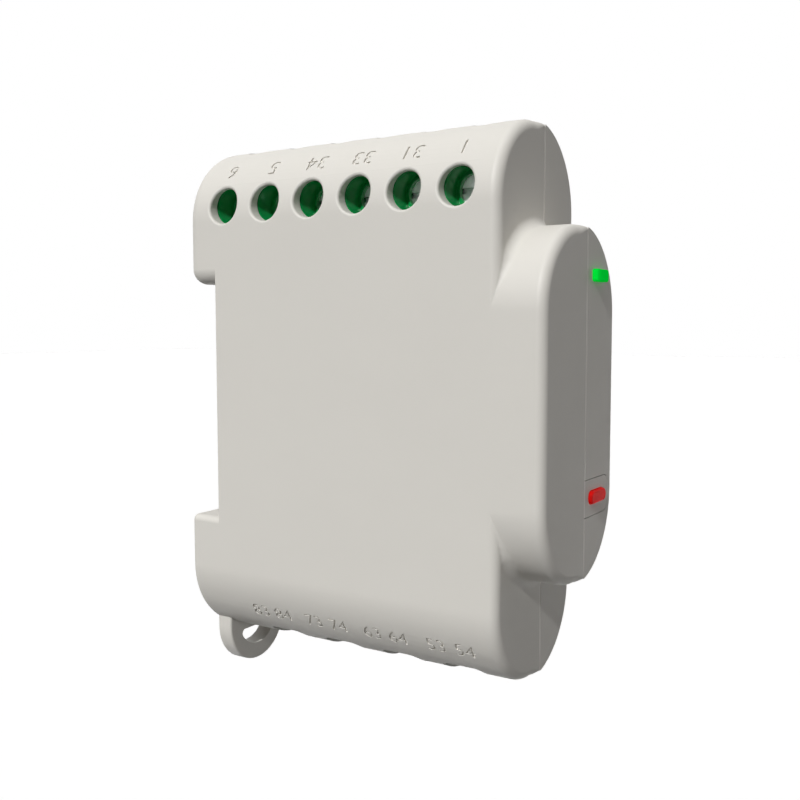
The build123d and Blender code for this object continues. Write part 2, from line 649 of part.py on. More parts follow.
def clamp_cage(y):
    """The cage that climbs its screw and pulls a wire up against the contact."""
    top = screw_tip_x() - SCREW_LENGTH + CAGE_HEADROOM + CAGE_TRAVEL
    window = top + CAGE_WALL
    base = window + CAGE_WINDOW
    side = CAGE_WIDTH / 2
    length = (POLE_Z - CAGE_LENGTH / 2, POLE_Z + CAGE_LENGTH / 2)
    with BuildPart() as cage:
        box((top, base + CAGE_BASE), (y - side, y + side), length)
        inner = side - CAGE_SIDE_WALL
        box((window, base), (y - inner, y + inner), length, Mode.SUBTRACT)
        thread = SCREW_THREAD + 2 * THREAD_CLEARANCE
        rod((top, y, POLE_Z), (window, y, POLE_Z), thread, Mode.SUBTRACT)
    return cage.part


def terminal_contacts():
    """Six tinned plates that the wires are clamped against, each with a leg to the board."""
    near, far = contact_x()
    low = POLE_Z - CHAMBER_BELOW + PIN_CLEARANCE
    with BuildPart() as contacts:
        for y in POLE_Y:
            side = CONTACT_WIDTH / 2
            box((near, far), (y - side, y + side), (low, POLE_Z + CAGE_LENGTH / 2))
            leg = CONTACT_LEG / 2
            end = BOARD_FAR_X + PIN_THROUGH
            box((near, end), (y - leg, y + leg), (low, low + CONTACT_LEG_THICKNESS))
    return contacts.part


def socket_pin_z():
    """The height of the pins' legs through the sockets to the board."""
    return BASE_Z + SOCKET_TOP - SOCKET_BACK / 2


def pin_places():
    """The Y of every pin of the current sockets."""
    return [y + side * PIN_PITCH / 2 for y in SOCKET_Y for side in (-1, 1)]


def current_socket(y):
    """A green two-pin socket, open downwards, shaped to the housing's round base."""
    near = NEAR_X + SOCKET_HOLE_START + SOCKET_LIP
    far = NEAR_X + SOCKET_HOLE_START + SOCKET_HOLE_LENGTH - SOCKET_LIP
    top = BASE_Z + SOCKET_TOP
    half = SOCKET_HOLE_WIDTH / 2 - SOCKET_LIP
    clear = END_RADIUS - WALL - TERMINAL_GAP
    low_x = near - SOCKET_WALL
    with BuildPart() as socket:
        with BuildSketch(Plane.XZ.offset(-y - half - SOCKET_WALL)):
            with Locations(((low_x + BOARD_X) / 2, (BASE_Z + top) / 2)):
                Rectangle(BOARD_X - low_x, SOCKET_TOP)
            with Locations((0, BASE_ARC_Z)):
                Circle(clear, mode=Mode.INTERSECT)
            with Locations((0, BASE_Z)):
                Rectangle(BODY_WIDTH, 2 * (WALL + LIP_THICKNESS + 2 * LIP_CLEARANCE), mode=Mode.SUBTRACT)
        extrude(amount=2 * (half + SOCKET_WALL))
        box((near, far), (y - half, y + half), (BASE_Z, top - SOCKET_BACK), Mode.SUBTRACT)
        for side in (-1, 1):
            middle = y + side * PIN_PITCH / 2
            wide = PIN_SIZE / 2
            pin = near + PIN_DEPTH - wide
            leg = (socket_pin_z() - wide, socket_pin_z() + wide)
            box((pin, BOARD_X), (middle - wide, middle + wide), leg, Mode.SUBTRACT)
            box((pin, pin + PIN_SIZE), (middle - wide, middle + wide), (BASE_Z, leg[1]), Mode.SUBTRACT)
    return socket.part


def socket_pins():
    """The bent square pins of the four current sockets."""
    near = NEAR_X + SOCKET_HOLE_START + SOCKET_LIP
    wide = PIN_SIZE / 2
    pin = near + PIN_DEPTH - wide
    with BuildPart() as pins:
        for y in pin_places():
            z = socket_pin_z()
            box((pin, BOARD_FAR_X + PIN_THROUGH), (y - wide, y + wide), (z - wide, z + wide))
            box((pin, pin + PIN_SIZE), (y - wide, y + wide), (BASE_Z + PIN_RECESS, z))
    return pins.part


def main_board():
    """The circuit board, cut to the housing's side outline, with its holes."""
    gap = WALL + BOARD_CLEARANCE
    rise = sqrt((END_RADIUS - WALL) ** 2 - max(abs(BOARD_X), abs(BOARD_FAR_X)) ** 2)
    low = BASE_ARC_Z - rise + BOARD_CLEARANCE
    high = TOP_ARC_Z + rise - BOARD_CLEARANCE
    nose = NOSE_HEIGHT / 2 - END_RADIUS + rise - BOARD_CLEARANCE
    with BuildPart() as board:
        with BuildSketch(Plane.YZ.offset(BOARD_X)):
            with BuildLine():
                Polyline(
                    (-gap, low),
                    (FRONT_Y + gap, low),
                    (FRONT_Y + gap, MIDDLE_Z - nose),
                    (INNER_NOSE_Y + BOARD_NOSE_CLEARANCE, MIDDLE_Z - nose),
                    (INNER_NOSE_Y + BOARD_NOSE_CLEARANCE, MIDDLE_Z + nose),
                    (FRONT_Y + gap, MIDDLE_Z + nose),
                    (FRONT_Y + gap, high),
                    (BACK_Y - gap, high),
                    (BACK_Y - gap, SEAT_TOP + gap),
                    (-gap, SEAT_TOP + gap),
                    (-gap, low),
                )
            make_face()
            with Locations(*posts()):
                Circle(PEG_DIAMETER / 2 + PIN_CLEARANCE, mode=Mode.SUBTRACT)
            leg_z = POLE_Z - CHAMBER_BELOW + PIN_CLEARANCE + CONTACT_LEG_THICKNESS / 2
            with Locations(*[(y, leg_z) for y in POLE_Y]):
                across = CONTACT_LEG + 2 * PIN_CLEARANCE
                Rectangle(across, CONTACT_LEG_THICKNESS + 2 * PIN_CLEARANCE, mode=Mode.SUBTRACT)
            with Locations(*[(y, socket_pin_z()) for y in pin_places()]):
                across = PIN_SIZE + 2 * PIN_CLEARANCE
                Rectangle(across, across, mode=Mode.SUBTRACT)
        extrude(amount=BOARD_THICKNESS)
    return board.part


def light_pipe():
    """The clear bar that carries the lamp's light through the lid."""
    flange_back = INNER_NOSE_Y + FLANGE_THICKNESS
    stem_end = led_front_y()
    wide = LIGHT_WIDTH / 2 + FLANGE_MARGIN
    tall = LIGHT_HEIGHT / 2 + FLANGE_MARGIN
    depth = (INNER_NOSE_Y, flange_back)
    with BuildPart() as flange:
        box((LIGHT_X - wide, LIGHT_X + wide), depth, (LIGHT_Z - tall, LIGHT_Z + tall))
        add(cavity(), mode=Mode.INTERSECT)
    with BuildPart() as pipe:
        with BuildSketch(Plane.XZ.offset(-INNER_NOSE_Y)):
            with Locations((LIGHT_X, LIGHT_Z)):
                RectangleRounded(LIGHT_WIDTH, LIGHT_HEIGHT, LIGHT_CORNER)
        extrude(amount=WALL + LIGHT_PROUD)
        fillet(pipe.faces().sort_by(Axis.Y)[0].edges(), LIGHT_CORNER / 2)
        add(flange.part)
        rod((LIGHT_X, flange_back, LIGHT_Z), (LIGHT_X, stem_end, LIGHT_Z), STEM_DIAMETER)
    return pipe.part


def led_front_y():
    """The tip of the lamp's lens, where the light pipe begins."""
    return INNER_NOSE_Y + BOARD_NOSE_CLEARANCE + LED_SIZE / 2


def status_led():
    """The lamp on the far face of the board, shining forward into the light pipe."""
    body = led_front_y() + LED_LENS_DEPTH
    half = LED_SIZE / 2
    with BuildPart() as led:
        high = (LIGHT_Z - half, LIGHT_Z + half)
        box((BOARD_FAR_X, LIGHT_X + half), (body, body + LED_SIZE), high)
        rod((LIGHT_X, body, LIGHT_Z), (LIGHT_X, led_front_y(), LIGHT_Z), LED_LENS)
    return led.part


def plunger_end_y():
    """Where the button's stem meets the switch's plunger."""
    return switch_front_y() - PLUNGER_PROUD


def switch_front_y():
    """The front face of the push switch on the board."""
    return INNER_NOSE_Y + BOARD_NOSE_CLEARANCE + PLUNGER_PROUD


def reset_button():
    """The red button: pill-shaped cap, flange behind the wall, and stem to the switch."""
    flange_front = INNER_NOSE_Y + FLANGE_GAP
    flange_back = flange_front + FLANGE_THICKNESS
    with BuildPart() as button:
        with BuildSketch(Plane.XZ.offset(-flange_front)):
            with Locations((BUTTON_X, BUTTON_Z)):
                SlotOverall(BUTTON_WIDTH, BUTTON_HEIGHT)
        extrude(amount=FLANGE_GAP + WALL + BUTTON_PROUD)
        fillet(button.faces().sort_by(Axis.Y)[0].edges(), BUTTON_PROUD / 2)
        with BuildSketch(Plane.XZ.offset(-flange_back)):
            with Locations((BUTTON_X, BUTTON_Z)):
                margin = 2 * BUTTON_FLANGE_MARGIN
                SlotOverall(BUTTON_WIDTH + margin, BUTTON_HEIGHT + margin)
        extrude(amount=FLANGE_THICKNESS)
        rod((BUTTON_X, flange_back, BUTTON_Z), (BUTTON_X, plunger_end_y(), BUTTON_Z), STEM_DIAMETER)
    return button.part


def push_switch():
    """The push switch's body on the far face of the board, with the plunger's guide."""
    front = switch_front_y()
    half = SWITCH_WIDTH / 2
    guide = PLUNGER_SIZE / 2 + BUTTON_CLEARANCE
    depth = PLUNGER_SEATED + BUTTON_TRAVEL + BUTTON_CLEARANCE
    with BuildPart() as switch:
        x = (BOARD_FAR_X, BOARD_FAR_X + SWITCH_HEIGHT)
        box(x, (front, front + SWITCH_DEPTH), (BUTTON_Z - half, BUTTON_Z + half))
        across = (BUTTON_X - guide, BUTTON_X + guide)
        box(across, (front, front + depth), (BUTTON_Z - guide, BUTTON_Z + guide), Mode.SUBTRACT)
    return switch.part


def switch_plunger():
    """The small square plunger that the button's stem pushes."""
    half = PLUNGER_SIZE / 2
    with BuildPart() as plunger:
        y = (plunger_end_y(), switch_front_y() + PLUNGER_SEATED)
        box((BUTTON_X - half, BUTTON_X + half), y, (BUTTON_Z - half, BUTTON_Z + half))
    return plunger.part


def on_board(depth_share, height_share):
    """A place on the board, as shares of the housing's depth from the back and height from the base."""
    return BACK_Y - depth_share * BODY_DEPTH, BASE_Z + height_share * BODY_HEIGHT


def moulded_box(y, z, depth, height, tall, corner):
    """A moulded component that stands on the near face of the board, forward and up from y and z."""
    with BuildPart() as piece:
        box((BOARD_X - tall, BOARD_X), (y - depth, y), (z, z + height))
        fillet(piece.faces().sort_by(Axis.X)[0].edges(), corner)
    return piece.part


RELAY_DEPTH = 10.2
RELAY_HEIGHT = 18.6
RELAY_TALL = 0.53 * BODY_WIDTH
RELAY_CORNER = 0.6


def relay():
    """The output relay, the tallest piece on the board."""
    y, z = on_board(0.175, 0.444)
    return moulded_box(y, z, RELAY_DEPTH, RELAY_HEIGHT, RELAY_TALL, RELAY_CORNER)


FILM_DEPTH = 13.0
FILM_HEIGHT = 5.2
FILM_TALL = 10.5
FILM_CORNER = 0.4


def film_capacitor():
    """The boxed film capacitor across the supply's input."""
    y, z = on_board(0.667, 0.467)
    return moulded_box(y, z, FILM_DEPTH, FILM_HEIGHT, FILM_TALL, FILM_CORNER)


CHOKE_SIZE = 10.0
CHOKE_TALL = 8.0
CHOKE_CORNER = 1.0


def filter_choke():
    """The shielded filter choke."""
    y, z = on_board(0.667, 0.278)
    return moulded_box(y, z, CHOKE_SIZE, CHOKE_SIZE, CHOKE_TALL, CHOKE_CORNER)


CAN_DIAMETER = 8.0
CAN_TALL = 12.0
CAN_GROOVE = 0.35
CAN_GROOVE_LIFT = 1.8


def bulk_capacitor(depth_share, height_share):
    """A can capacitor that stands on the board, with its rolled groove and scored top."""
    y, z = on_board(depth_share, height_share)
    with BuildPart() as can:
        rod((BOARD_X - CAN_TALL, y, z), (BOARD_X, y, z), CAN_DIAMETER)
        fillet(can.edges().filter_by(GeomType.CIRCLE), 2 * CAN_GROOVE)
        with Locations(Plane(origin=(BOARD_X - CAN_GROOVE_LIFT, y, z), z_dir=(1, 0, 0))):
            Torus(CAN_DIAMETER / 2 + CAN_GROOVE / 2, CAN_GROOVE, mode=Mode.SUBTRACT)
        arm = CAN_DIAMETER / 3
        score = CAN_GROOVE / 2
        top = (BOARD_X - CAN_TALL, BOARD_X - CAN_TALL + score)
        for across, along in ((score, arm), (arm, score)):
            box(top, (y - across, y + across), (z - along, z + along), Mode.SUBTRACT)
    return can.part


CORE_LENGTH = 13.0
CORE_WIDTH = 6.0
CORE_TALL = 11.0
CORE_LEG = 2.2
CORE_LIFT = 1.0
COIL_MARGIN = 2.5


def core_place():
    """The back and lower corner of the transformer's core."""
    return on_board(0.405, 0.556)


def transformer_core():
    """The ferrite frame of the supply's transformer, with its middle leg."""
    y, z = core_place()
    with BuildPart() as core:
        tall = (BOARD_X - CORE_TALL, BOARD_X - CORE_LIFT)
        box(tall, (y - CORE_LENGTH, y), (z, z + CORE_WIDTH))
        window = CORE_LENGTH / 2 - 1.5 * CORE_LEG
        for side in (CORE_LEG, CORE_LENGTH / 2 + CORE_LEG / 2):
            x = (tall[0] + CORE_LEG, tall[1] - CORE_LEG)
            box(x, (y - side - window, y - side), (z, z + CORE_WIDTH), Mode.SUBTRACT)
    return core.part


def transformer_coil():
    """The taped coil on its bobbin, round the core's middle leg."""
    corner_y, corner_z = core_place()
    y = corner_y - CORE_LENGTH / 2
    z = corner_z + CORE_WIDTH / 2
    with BuildPart() as coil:
        low = BOARD_X - CORE_TALL + CORE_LEG
        high = BOARD_X - CORE_LIFT - CORE_LEG
        side = CORE_LENGTH / 2 - CORE_LEG
        reach = CORE_WIDTH / 2 + COIL_MARGIN
        box((low, high), (y - side, y + side), (z - reach, z + reach))
        fillet(coil.edges().filter_by(Axis.X), side / 3)
        leg = CORE_LEG / 2
        box((low, high), (y - leg, y + leg), (z - CORE_WIDTH / 2, z + CORE_WIDTH / 2), Mode.SUBTRACT)
        for end in (-1, 1):
            row = (z + end * reach, z + end * CORE_WIDTH / 2)
            box((high, BOARD_X), (y - side, y + side), row)
    return coil.part


VARISTOR_DIAMETER = 7.6
VARISTOR_THICKNESS = 3.0
VARISTOR_LEG = 0.8


def varistor():
    """A dipped disc that stands on edge on the board."""
    y, z = on_board(0.4286, 0.489)
    middle = BOARD_X - VARISTOR_DIAMETER / 2 - VARISTOR_LEG
    half = VARISTOR_THICKNESS / 2
    with BuildPart() as disc:
        rod((middle, y, z - half), (middle, y, z + half), VARISTOR_DIAMETER)
        fillet(disc.edges().filter_by(GeomType.CIRCLE), VARISTOR_THICKNESS / 3)
        for side in (-1, 1):
            foot = y + side * VARISTOR_DIAMETER / 4
            rod((middle, foot, z), (BOARD_X, foot, z), VARISTOR_LEG)
    return disc.part


RESISTOR_WIDTH = 1.2
RESISTOR_LENGTH = 2.0
RESISTOR_THICKNESS = 0.6
RESISTOR_SPACING = 3.2


def sense_resistors():
    """A row of small load resistors, one pair above each current socket."""
    z = BASE_Z + SOCKET_TOP + RESISTOR_THICKNESS
    half = RESISTOR_WIDTH / 2
    with BuildPart() as row:
        for socket in SOCKET_Y:
            for y in (socket - RESISTOR_SPACING / 2, socket + RESISTOR_SPACING / 2):
                box((BOARD_X - RESISTOR_THICKNESS, BOARD_X), (y - half, y + half), (z, z + RESISTOR_LENGTH))
    return row.part


CHIP_SIZE = 7.0
CHIP_THICKNESS = 1.3
CHIP_LIFT = 0.1
CHIP_LEG_WIDTH = 0.36
CHIP_LEG_REACH = 1.0
CHIP_LEG_THICKNESS = 0.5
CHIP_LEG_PITCH = 0.8
CHIP_LEG_COUNT = 8


def metering_chip():
    """The flat measuring chip, with its legs on four sides."""
    y, z = on_board(0.54, 0.322)
    half = CHIP_SIZE / 2
    reach = half + CHIP_LEG_REACH
    leg = CHIP_LEG_WIDTH / 2
    with BuildPart() as chip:
        x = (BOARD_X - CHIP_LIFT - CHIP_THICKNESS, BOARD_X - CHIP_LIFT)
        box(x, (y - half, y + half), (z - half, z + half))
        chamfer(chip.faces().sort_by(Axis.X)[0].edges(), 2 * CHIP_LIFT)
        foot = (BOARD_X - CHIP_LEG_THICKNESS, BOARD_X)
        for k in range(CHIP_LEG_COUNT):
            along = (k - (CHIP_LEG_COUNT - 1) / 2) * CHIP_LEG_PITCH
            for low, high in ((-reach, -half), (half, reach)):
                box(foot, (y + along - leg, y + along + leg), (z + low, z + high))
                box(foot, (y + low, y + high), (z + along - leg, z + along + leg))
    return chip.part


MODULE_WIDTH = 16.0
MODULE_HEIGHT = 24.0
MODULE_THICKNESS = 0.8
MODULE_PAD = 0.8
MODULE_PAD_PITCH = 2.0
MODULE_PAD_COUNT = 8
SHIELD_THICKNESS = 2.4
SHIELD_MARGIN = 1.0
SHIELD_CORNER = 0.8
ANTENNA_LENGTH = 6.5


def module_place():
    """The back and lower corner of the radio's board."""
    return on_board(0.3175, 0.333)


def wireless_module():
    """The radio's own small board, soldered flat on the far face."""
    y, z = module_place()
    with BuildPart() as module:
        x = (BOARD_FAR_X, BOARD_FAR_X + MODULE_THICKNESS)
        box(x, (y - MODULE_WIDTH, y), (z, z + MODULE_HEIGHT))
        for k in range(1, MODULE_PAD_COUNT + 1):
            height = z + MODULE_PAD_PITCH * k
            for edge in (y, y - MODULE_WIDTH):
                rod((x[0], edge, height), (x[1], edge, height), MODULE_PAD, Mode.SUBTRACT)
    return module.part


def wireless_shield():
    """The radio's metal can, with rounded top edges."""
    corner_y, corner_z = module_place()
    y = corner_y - SHIELD_MARGIN
    z = corner_z + SHIELD_MARGIN
    with BuildPart() as shield:
        x = (BOARD_FAR_X + MODULE_THICKNESS, BOARD_FAR_X + MODULE_THICKNESS + SHIELD_THICKNESS)
        wide = MODULE_WIDTH - 2 * SHIELD_MARGIN
        tall = MODULE_HEIGHT - ANTENNA_LENGTH - SHIELD_MARGIN
        box(x, (y - wide, y), (z, z + tall))
        fillet(shield.edges().filter_by(Axis.X), SHIELD_CORNER)
        fillet(shield.faces().sort_by(Axis.X)[-1].edges(), SHIELD_CORNER / 3)
    return shield.part


def write(name, part):
    """Labels a finished piece and writes it under its own name."""
    part.label = name
    export_step(part, f"parts/{name}.step")


def main():
    os.makedirs("parts", exist_ok=True)
    write("case_shell", case_shell())
    write("case_lid", case_lid())
    write("rail_latch", rail_latch())
    write("latch_spring", latch_spring())
    write("terminal_block", terminal_block())
    write("terminal_contacts", terminal_contacts())
    for number, y in enumerate(POLE_Y, start=1):
        write(f"terminal_screw_{number}", terminal_screw(y))
        write(f"clamp_cage_{number}", clamp_cage(y))
    for number, y in enumerate(SOCKET_Y, start=1):
        write(f"current_socket_{number}", current_socket(y))
    write("socket_pins", socket_pins())
    write("main_board", main_board())
    write("light_pipe", light_pipe())
    write("status_led", status_led())
    write("reset_button", reset_button())
    write("push_switch", push_switch())
    write("switch_plunger", switch_plunger())
    write("relay", relay())
    write("film_capacitor", film_capacitor())
    write("filter_choke", filter_choke())
    write("bulk_capacitor_1", bulk_capacitor(0.711, 0.655))
    write("bulk_capacitor_2", bulk_capacitor(0.857, 0.622))
    write("transformer_core", transformer_core())
    write("transformer_coil", transformer_coil())
    write("varistor", varistor())
    write("sense_resistors", sense_resistors())
    write("metering_chip", metering_chip())
    write("wireless_module", wireless_module())
    write("wireless_shield", wireless_shield())


main()
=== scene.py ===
"""The finishes, marks and studio of a rail-mounted energy meter.

Metres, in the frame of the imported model: X runs across the narrow width from the side with the
screwdriver holes, -Y is the front, and Z is up.
"""

from math import acos, cos, pi, radians, sin

import bpy
from bpy.props import FloatProperty, FloatVectorProperty, PointerProperty
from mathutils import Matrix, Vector


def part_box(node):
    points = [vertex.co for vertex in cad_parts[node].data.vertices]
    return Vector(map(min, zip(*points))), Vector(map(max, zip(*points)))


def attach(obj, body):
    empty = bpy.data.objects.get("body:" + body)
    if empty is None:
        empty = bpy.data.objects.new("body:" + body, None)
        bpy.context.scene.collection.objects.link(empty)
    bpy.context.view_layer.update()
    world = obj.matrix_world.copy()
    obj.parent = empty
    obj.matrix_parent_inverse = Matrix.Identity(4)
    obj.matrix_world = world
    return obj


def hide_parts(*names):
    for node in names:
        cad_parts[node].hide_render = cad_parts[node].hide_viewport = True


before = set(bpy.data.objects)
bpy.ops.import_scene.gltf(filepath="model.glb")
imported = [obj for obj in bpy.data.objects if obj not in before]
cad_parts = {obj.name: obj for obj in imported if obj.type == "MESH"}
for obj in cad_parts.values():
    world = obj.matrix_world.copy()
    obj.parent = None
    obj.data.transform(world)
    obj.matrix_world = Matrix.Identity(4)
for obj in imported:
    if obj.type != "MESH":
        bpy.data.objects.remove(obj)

bl_info = {
    "name": "Energy meter finish",
    "version": (1, 0, 0),
    "blender": (4, 5, 0),
    "location": "View3D > Sidebar > Meter",
    "description": "Finishes, moulded numbers, solder joints and studio for a rail-mounted energy meter",
    "category": "Object",
}

POLES = range(1, 7)
SOCKETS = range(1, 5)


def middle(node):
    """The middle of a node's box."""
    low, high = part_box(node)
    return (low + high) / 2


SHELL_LOW, SHELL_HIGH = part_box("case_shell")
LID_LOW, LID_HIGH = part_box("case_lid")
HALF_WIDTH = (LID_HIGH.x - SHELL_LOW.x) / 2
NEAR_X = SHELL_LOW.x
TOP_ARC_Z = SHELL_HIGH.z - HALF_WIDTH
BASE_ARC_Z = SHELL_LOW.z + HALF_WIDTH
BACK_Y = SHELL_HIGH.y
POLE = [middle(f"terminal_screw_{k}") for k in POLES]
POLE_PITCH = POLE[0].y - POLE[1].y
BOARD_LOW, BOARD_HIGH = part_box("main_board")


class MeterFinishes(bpy.types.PropertyGroup):
    """Colours and surface sizes of the moulded and metal pieces."""

    housing: FloatVectorProperty(
        name="Housing", description="Colour of the moulded housing", subtype="COLOR",
        size=3, min=0, max=1, default=(0.735, 0.715, 0.665))
    grain: FloatProperty(
        name="Grain", description="Size of the grain on the moulded housing", unit="LENGTH",
        default=0.00022, min=0.00002, max=0.002, precision=5)
    grain_depth: FloatProperty(
        name="Grain depth", description="Depth of the grain on the moulded housing", unit="LENGTH",
        default=0.000008, min=0, max=0.0002, precision=6)
    terminal: FloatVectorProperty(
        name="Terminal", description="Colour of the terminal block and sockets", subtype="COLOR",
        size=3, min=0, max=1, default=(0.004, 0.300, 0.070))
    button: FloatVectorProperty(
        name="Button", description="Colour of the push button", subtype="COLOR",
        size=3, min=0, max=1, default=(0.33, 0.004, 0.0035))
    # Painted glow: the button is no lamp, but it shines by itself.
    button_painted_glow: FloatProperty(
        name="Button painted glow", description="How much the button shines by itself", default=0.95, min=0, max=2)
    lamp: FloatVectorProperty(
        name="Lamp", description="Colour of the lit lamp", subtype="COLOR",
        size=3, min=0, max=1, default=(0.0, 0.80, 0.045))
    lamp_glow: FloatProperty(
        name="Lamp glow", description="How much the lamp's window shines", default=0.61, min=0, max=2)
    thread_pitch: FloatProperty(
        name="Thread pitch", description="Pitch of the clamp screws' thread", unit="LENGTH",
        default=0.0005, min=0.0002, max=0.001, precision=5)


class MeterNumbers(bpy.types.PropertyGroup):
    """Sizes of the plain numbers on the round ends."""

    top_height: FloatProperty(
        name="Top height", description="Height of the numbers over the screwdriver holes", unit="LENGTH",
        default=0.0032, min=0.001, max=0.005, precision=4)
    top_inset: FloatProperty(
        name="Top inset", description="How far the upper numbers stand in from the side", unit="LENGTH",
        default=0.0033, min=0.001, max=0.008, precision=4)
    base_height: FloatProperty(
        name="Base height", description="Height of the numbers over the current inputs", unit="LENGTH",
        default=0.0028, min=0.001, max=0.005, precision=4)
    base_inset: FloatProperty(
        name="Base inset", description="How far the lower numbers stand in from the side", unit="LENGTH",
        default=0.0021, min=0.001, max=0.008, precision=4)
    depth: FloatProperty(
        name="Depth", description="How deep the numbers are cut", unit="LENGTH",
        default=0.0003, min=0.00005, max=0.0005, precision=5)
    thinning: FloatProperty(
        name="Thinning", description="How much is taken off each side of a stroke", unit="LENGTH",
        default=0.00003, min=0, max=0.0002, precision=5)


class MeterSolder(bpy.types.PropertyGroup):
    """Sizes of the solder joints on the far side of the circuit board."""

    foot: FloatProperty(
        name="Foot", description="Width of a joint on the board", unit="LENGTH",
        default=0.0022, min=0.0014, max=0.003, precision=4)
    neck: FloatProperty(
        name="Neck", description="Width of a joint where it ends on the pin", unit="LENGTH",
        default=0.0014, min=0.0008, max=0.002, precision=4)
    rise: FloatProperty(
        name="Rise", description="Height of a joint", unit="LENGTH",
        default=0.00075, min=0.0003, max=0.0015, precision=5)


class MeterStudio(bpy.types.PropertyGroup):
    """The camera, lamp, surroundings and floor."""

    camera_place: FloatVectorProperty(
        name="Camera", description="Place of the camera", subtype="TRANSLATION", unit="LENGTH",
        size=3, default=(-0.143066, -0.121232, 0.014748))
    camera_turn: FloatProperty(
        name="Turn", description="Direction that the camera looks in, from +X", subtype="ANGLE",
        default=0.5662)
    camera_tilt: FloatProperty(
        name="Tilt", description="How far the camera looks down", subtype="ANGLE", default=0.0756)
    camera_roll: FloatProperty(
        name="Roll", description="How far the camera leans", subtype="ANGLE", default=-0.0011)
    lens: FloatProperty(
        name="Lens", description="Focal length on a 36 mm sensor, in millimetres",
        default=43.664, min=10, max=200)
    key_from: FloatVectorProperty(
        name="Key from", description="Direction that the key light comes from", subtype="DIRECTION",
        size=3, default=(-0.80, -0.06, 0.597))
    key_strength: FloatProperty(
        name="Key strength", description="Strength of the key light", default=2.60, min=0, max=20)
    key_softness: FloatProperty(
        name="Key softness", description="Angle that the key light covers", subtype="ANGLE",
        default=radians(1.5), min=0, max=pi)
    ceiling_strength: FloatProperty(
        name="Ceiling strength", description="Strength of the wide light from above",
        default=0.60, min=0, max=20)
    ceiling_softness: FloatProperty(
        name="Ceiling softness", description="Angle that the light from above covers", subtype="ANGLE",
        default=radians(40), min=0, max=pi)
    around: FloatProperty(
        name="Surroundings", description="Level of the light from all around", default=0.108, min=0, max=2)
    floor_drop: FloatProperty(
        name="Floor drop", description="How far the floor lies below the rail's middle", unit="LENGTH",
        default=0.36, min=0.055, max=1)
    floor_size: FloatProperty(
        name="Floor size", description="Width of the floor", unit="LENGTH", default=24, min=1, max=100)


def node(tree, kind, inputs=None, **settings):
    """Adds a node with its settings, and links or sets its inputs by name or number."""
    made = tree.nodes.new(kind)
    for name, value in settings.items():
        setattr(made, name, value)
    for name, value in (inputs or {}).items():
        if isinstance(value, bpy.types.NodeSocket):
            tree.links.new(value, made.inputs[name])
        else:
            made.inputs[name].default_value = value
    return made


def maths(tree, operation, a, b=0.0, c=0.0, clamp=False):
    """Adds a Math node and gives its result."""
    return node(tree, "ShaderNodeMath", {0: a, 1: b, 2: c}, operation=operation, use_clamp=clamp).outputs[0]


def span(tree, value, low, high, to_low=0.0, to_high=1.0):
    """Maps a value between two limits, smoothly and clamped."""
    limits = {"Value": value, "From Min": low, "From Max": high, "To Min": to_low, "To Max": to_high}
    return node(tree, "ShaderNodeMapRange", limits, interpolation_type="SMOOTHSTEP").outputs["Result"]


def tint(tree, factor, first, second, blend="MIX"):
    """Mixes two colours by a factor."""
    made = tree.nodes.new("ShaderNodeMix")
    made.data_type = "RGBA"
    made.blend_type = blend
    colours = [s for s in made.inputs if s.type == "RGBA"]
    for socket, value in zip([made.inputs[0], *colours], (factor, first, second)):
        if isinstance(value, bpy.types.NodeSocket):
            tree.links.new(value, socket)
        else:
            socket.default_value = value if isinstance(value, float) else (*value[:3], 1.0)
    return next(s for s in made.outputs if s.type == "RGBA")


def place(tree, scale=(1, 1, 1), shift=(0, 0, 0), turn=(0, 0, 0)):
    """Object coordinates through a Mapping node."""
    source = node(tree, "ShaderNodeTexCoord").outputs["Object"]
    settings = {"Vector": source, "Location": shift, "Rotation": turn, "Scale": scale}
    return node(tree, "ShaderNodeMapping", settings).outputs["Vector"]


def noise(tree, vector, scale, detail=2.0, roughness=0.5):
    """A noise value."""
    inputs = {"Vector": vector, "Scale": scale, "Detail": detail, "Roughness": roughness}
    return node(tree, "ShaderNodeTexNoise", inputs).outputs["Fac"]


def bump(tree, height, distance, normal=None):
    """A bump of a height, as a normal."""
    inputs = {"Height": height, "Distance": distance, "Strength": 1.0}
    if normal:
        inputs["Normal"] = normal
    return node(tree, "ShaderNodeBump", inputs).outputs["Normal"]


def new_group(name, inputs, outputs):
    """An empty node group with named sockets, and its input and output nodes."""
    group = bpy.data.node_groups.new(name, "ShaderNodeTree")
    kinds = {"value": "NodeSocketFloat", "colour": "NodeSocketColor", "vector": "NodeSocketVector"}
    for socket, (kind, default) in inputs.items():
        made = group.interface.new_socket(socket, in_out="INPUT", socket_type=kinds[kind])
        if default is not None:
            made.default_value = default
    for socket, kind in outputs.items():
        group.interface.new_socket(socket, in_out="OUTPUT", socket_type=kinds[kind])
    return group, group.nodes.new("NodeGroupInput").outputs, group.nodes.new("NodeGroupOutput").inputs


def use(tree, group, **inputs):
    """Places a group in a tree and gives its outputs."""
    made = tree.nodes.new("ShaderNodeGroup")
    made.node_tree = bpy.data.node_groups[group]
    for name, value in inputs.items():
        socket = made.inputs[name.replace("_", " ")]
        if isinstance(value, bpy.types.NodeSocket):
            tree.links.new(value, socket)
        else:
            socket.default_value = value
    return made.outputs


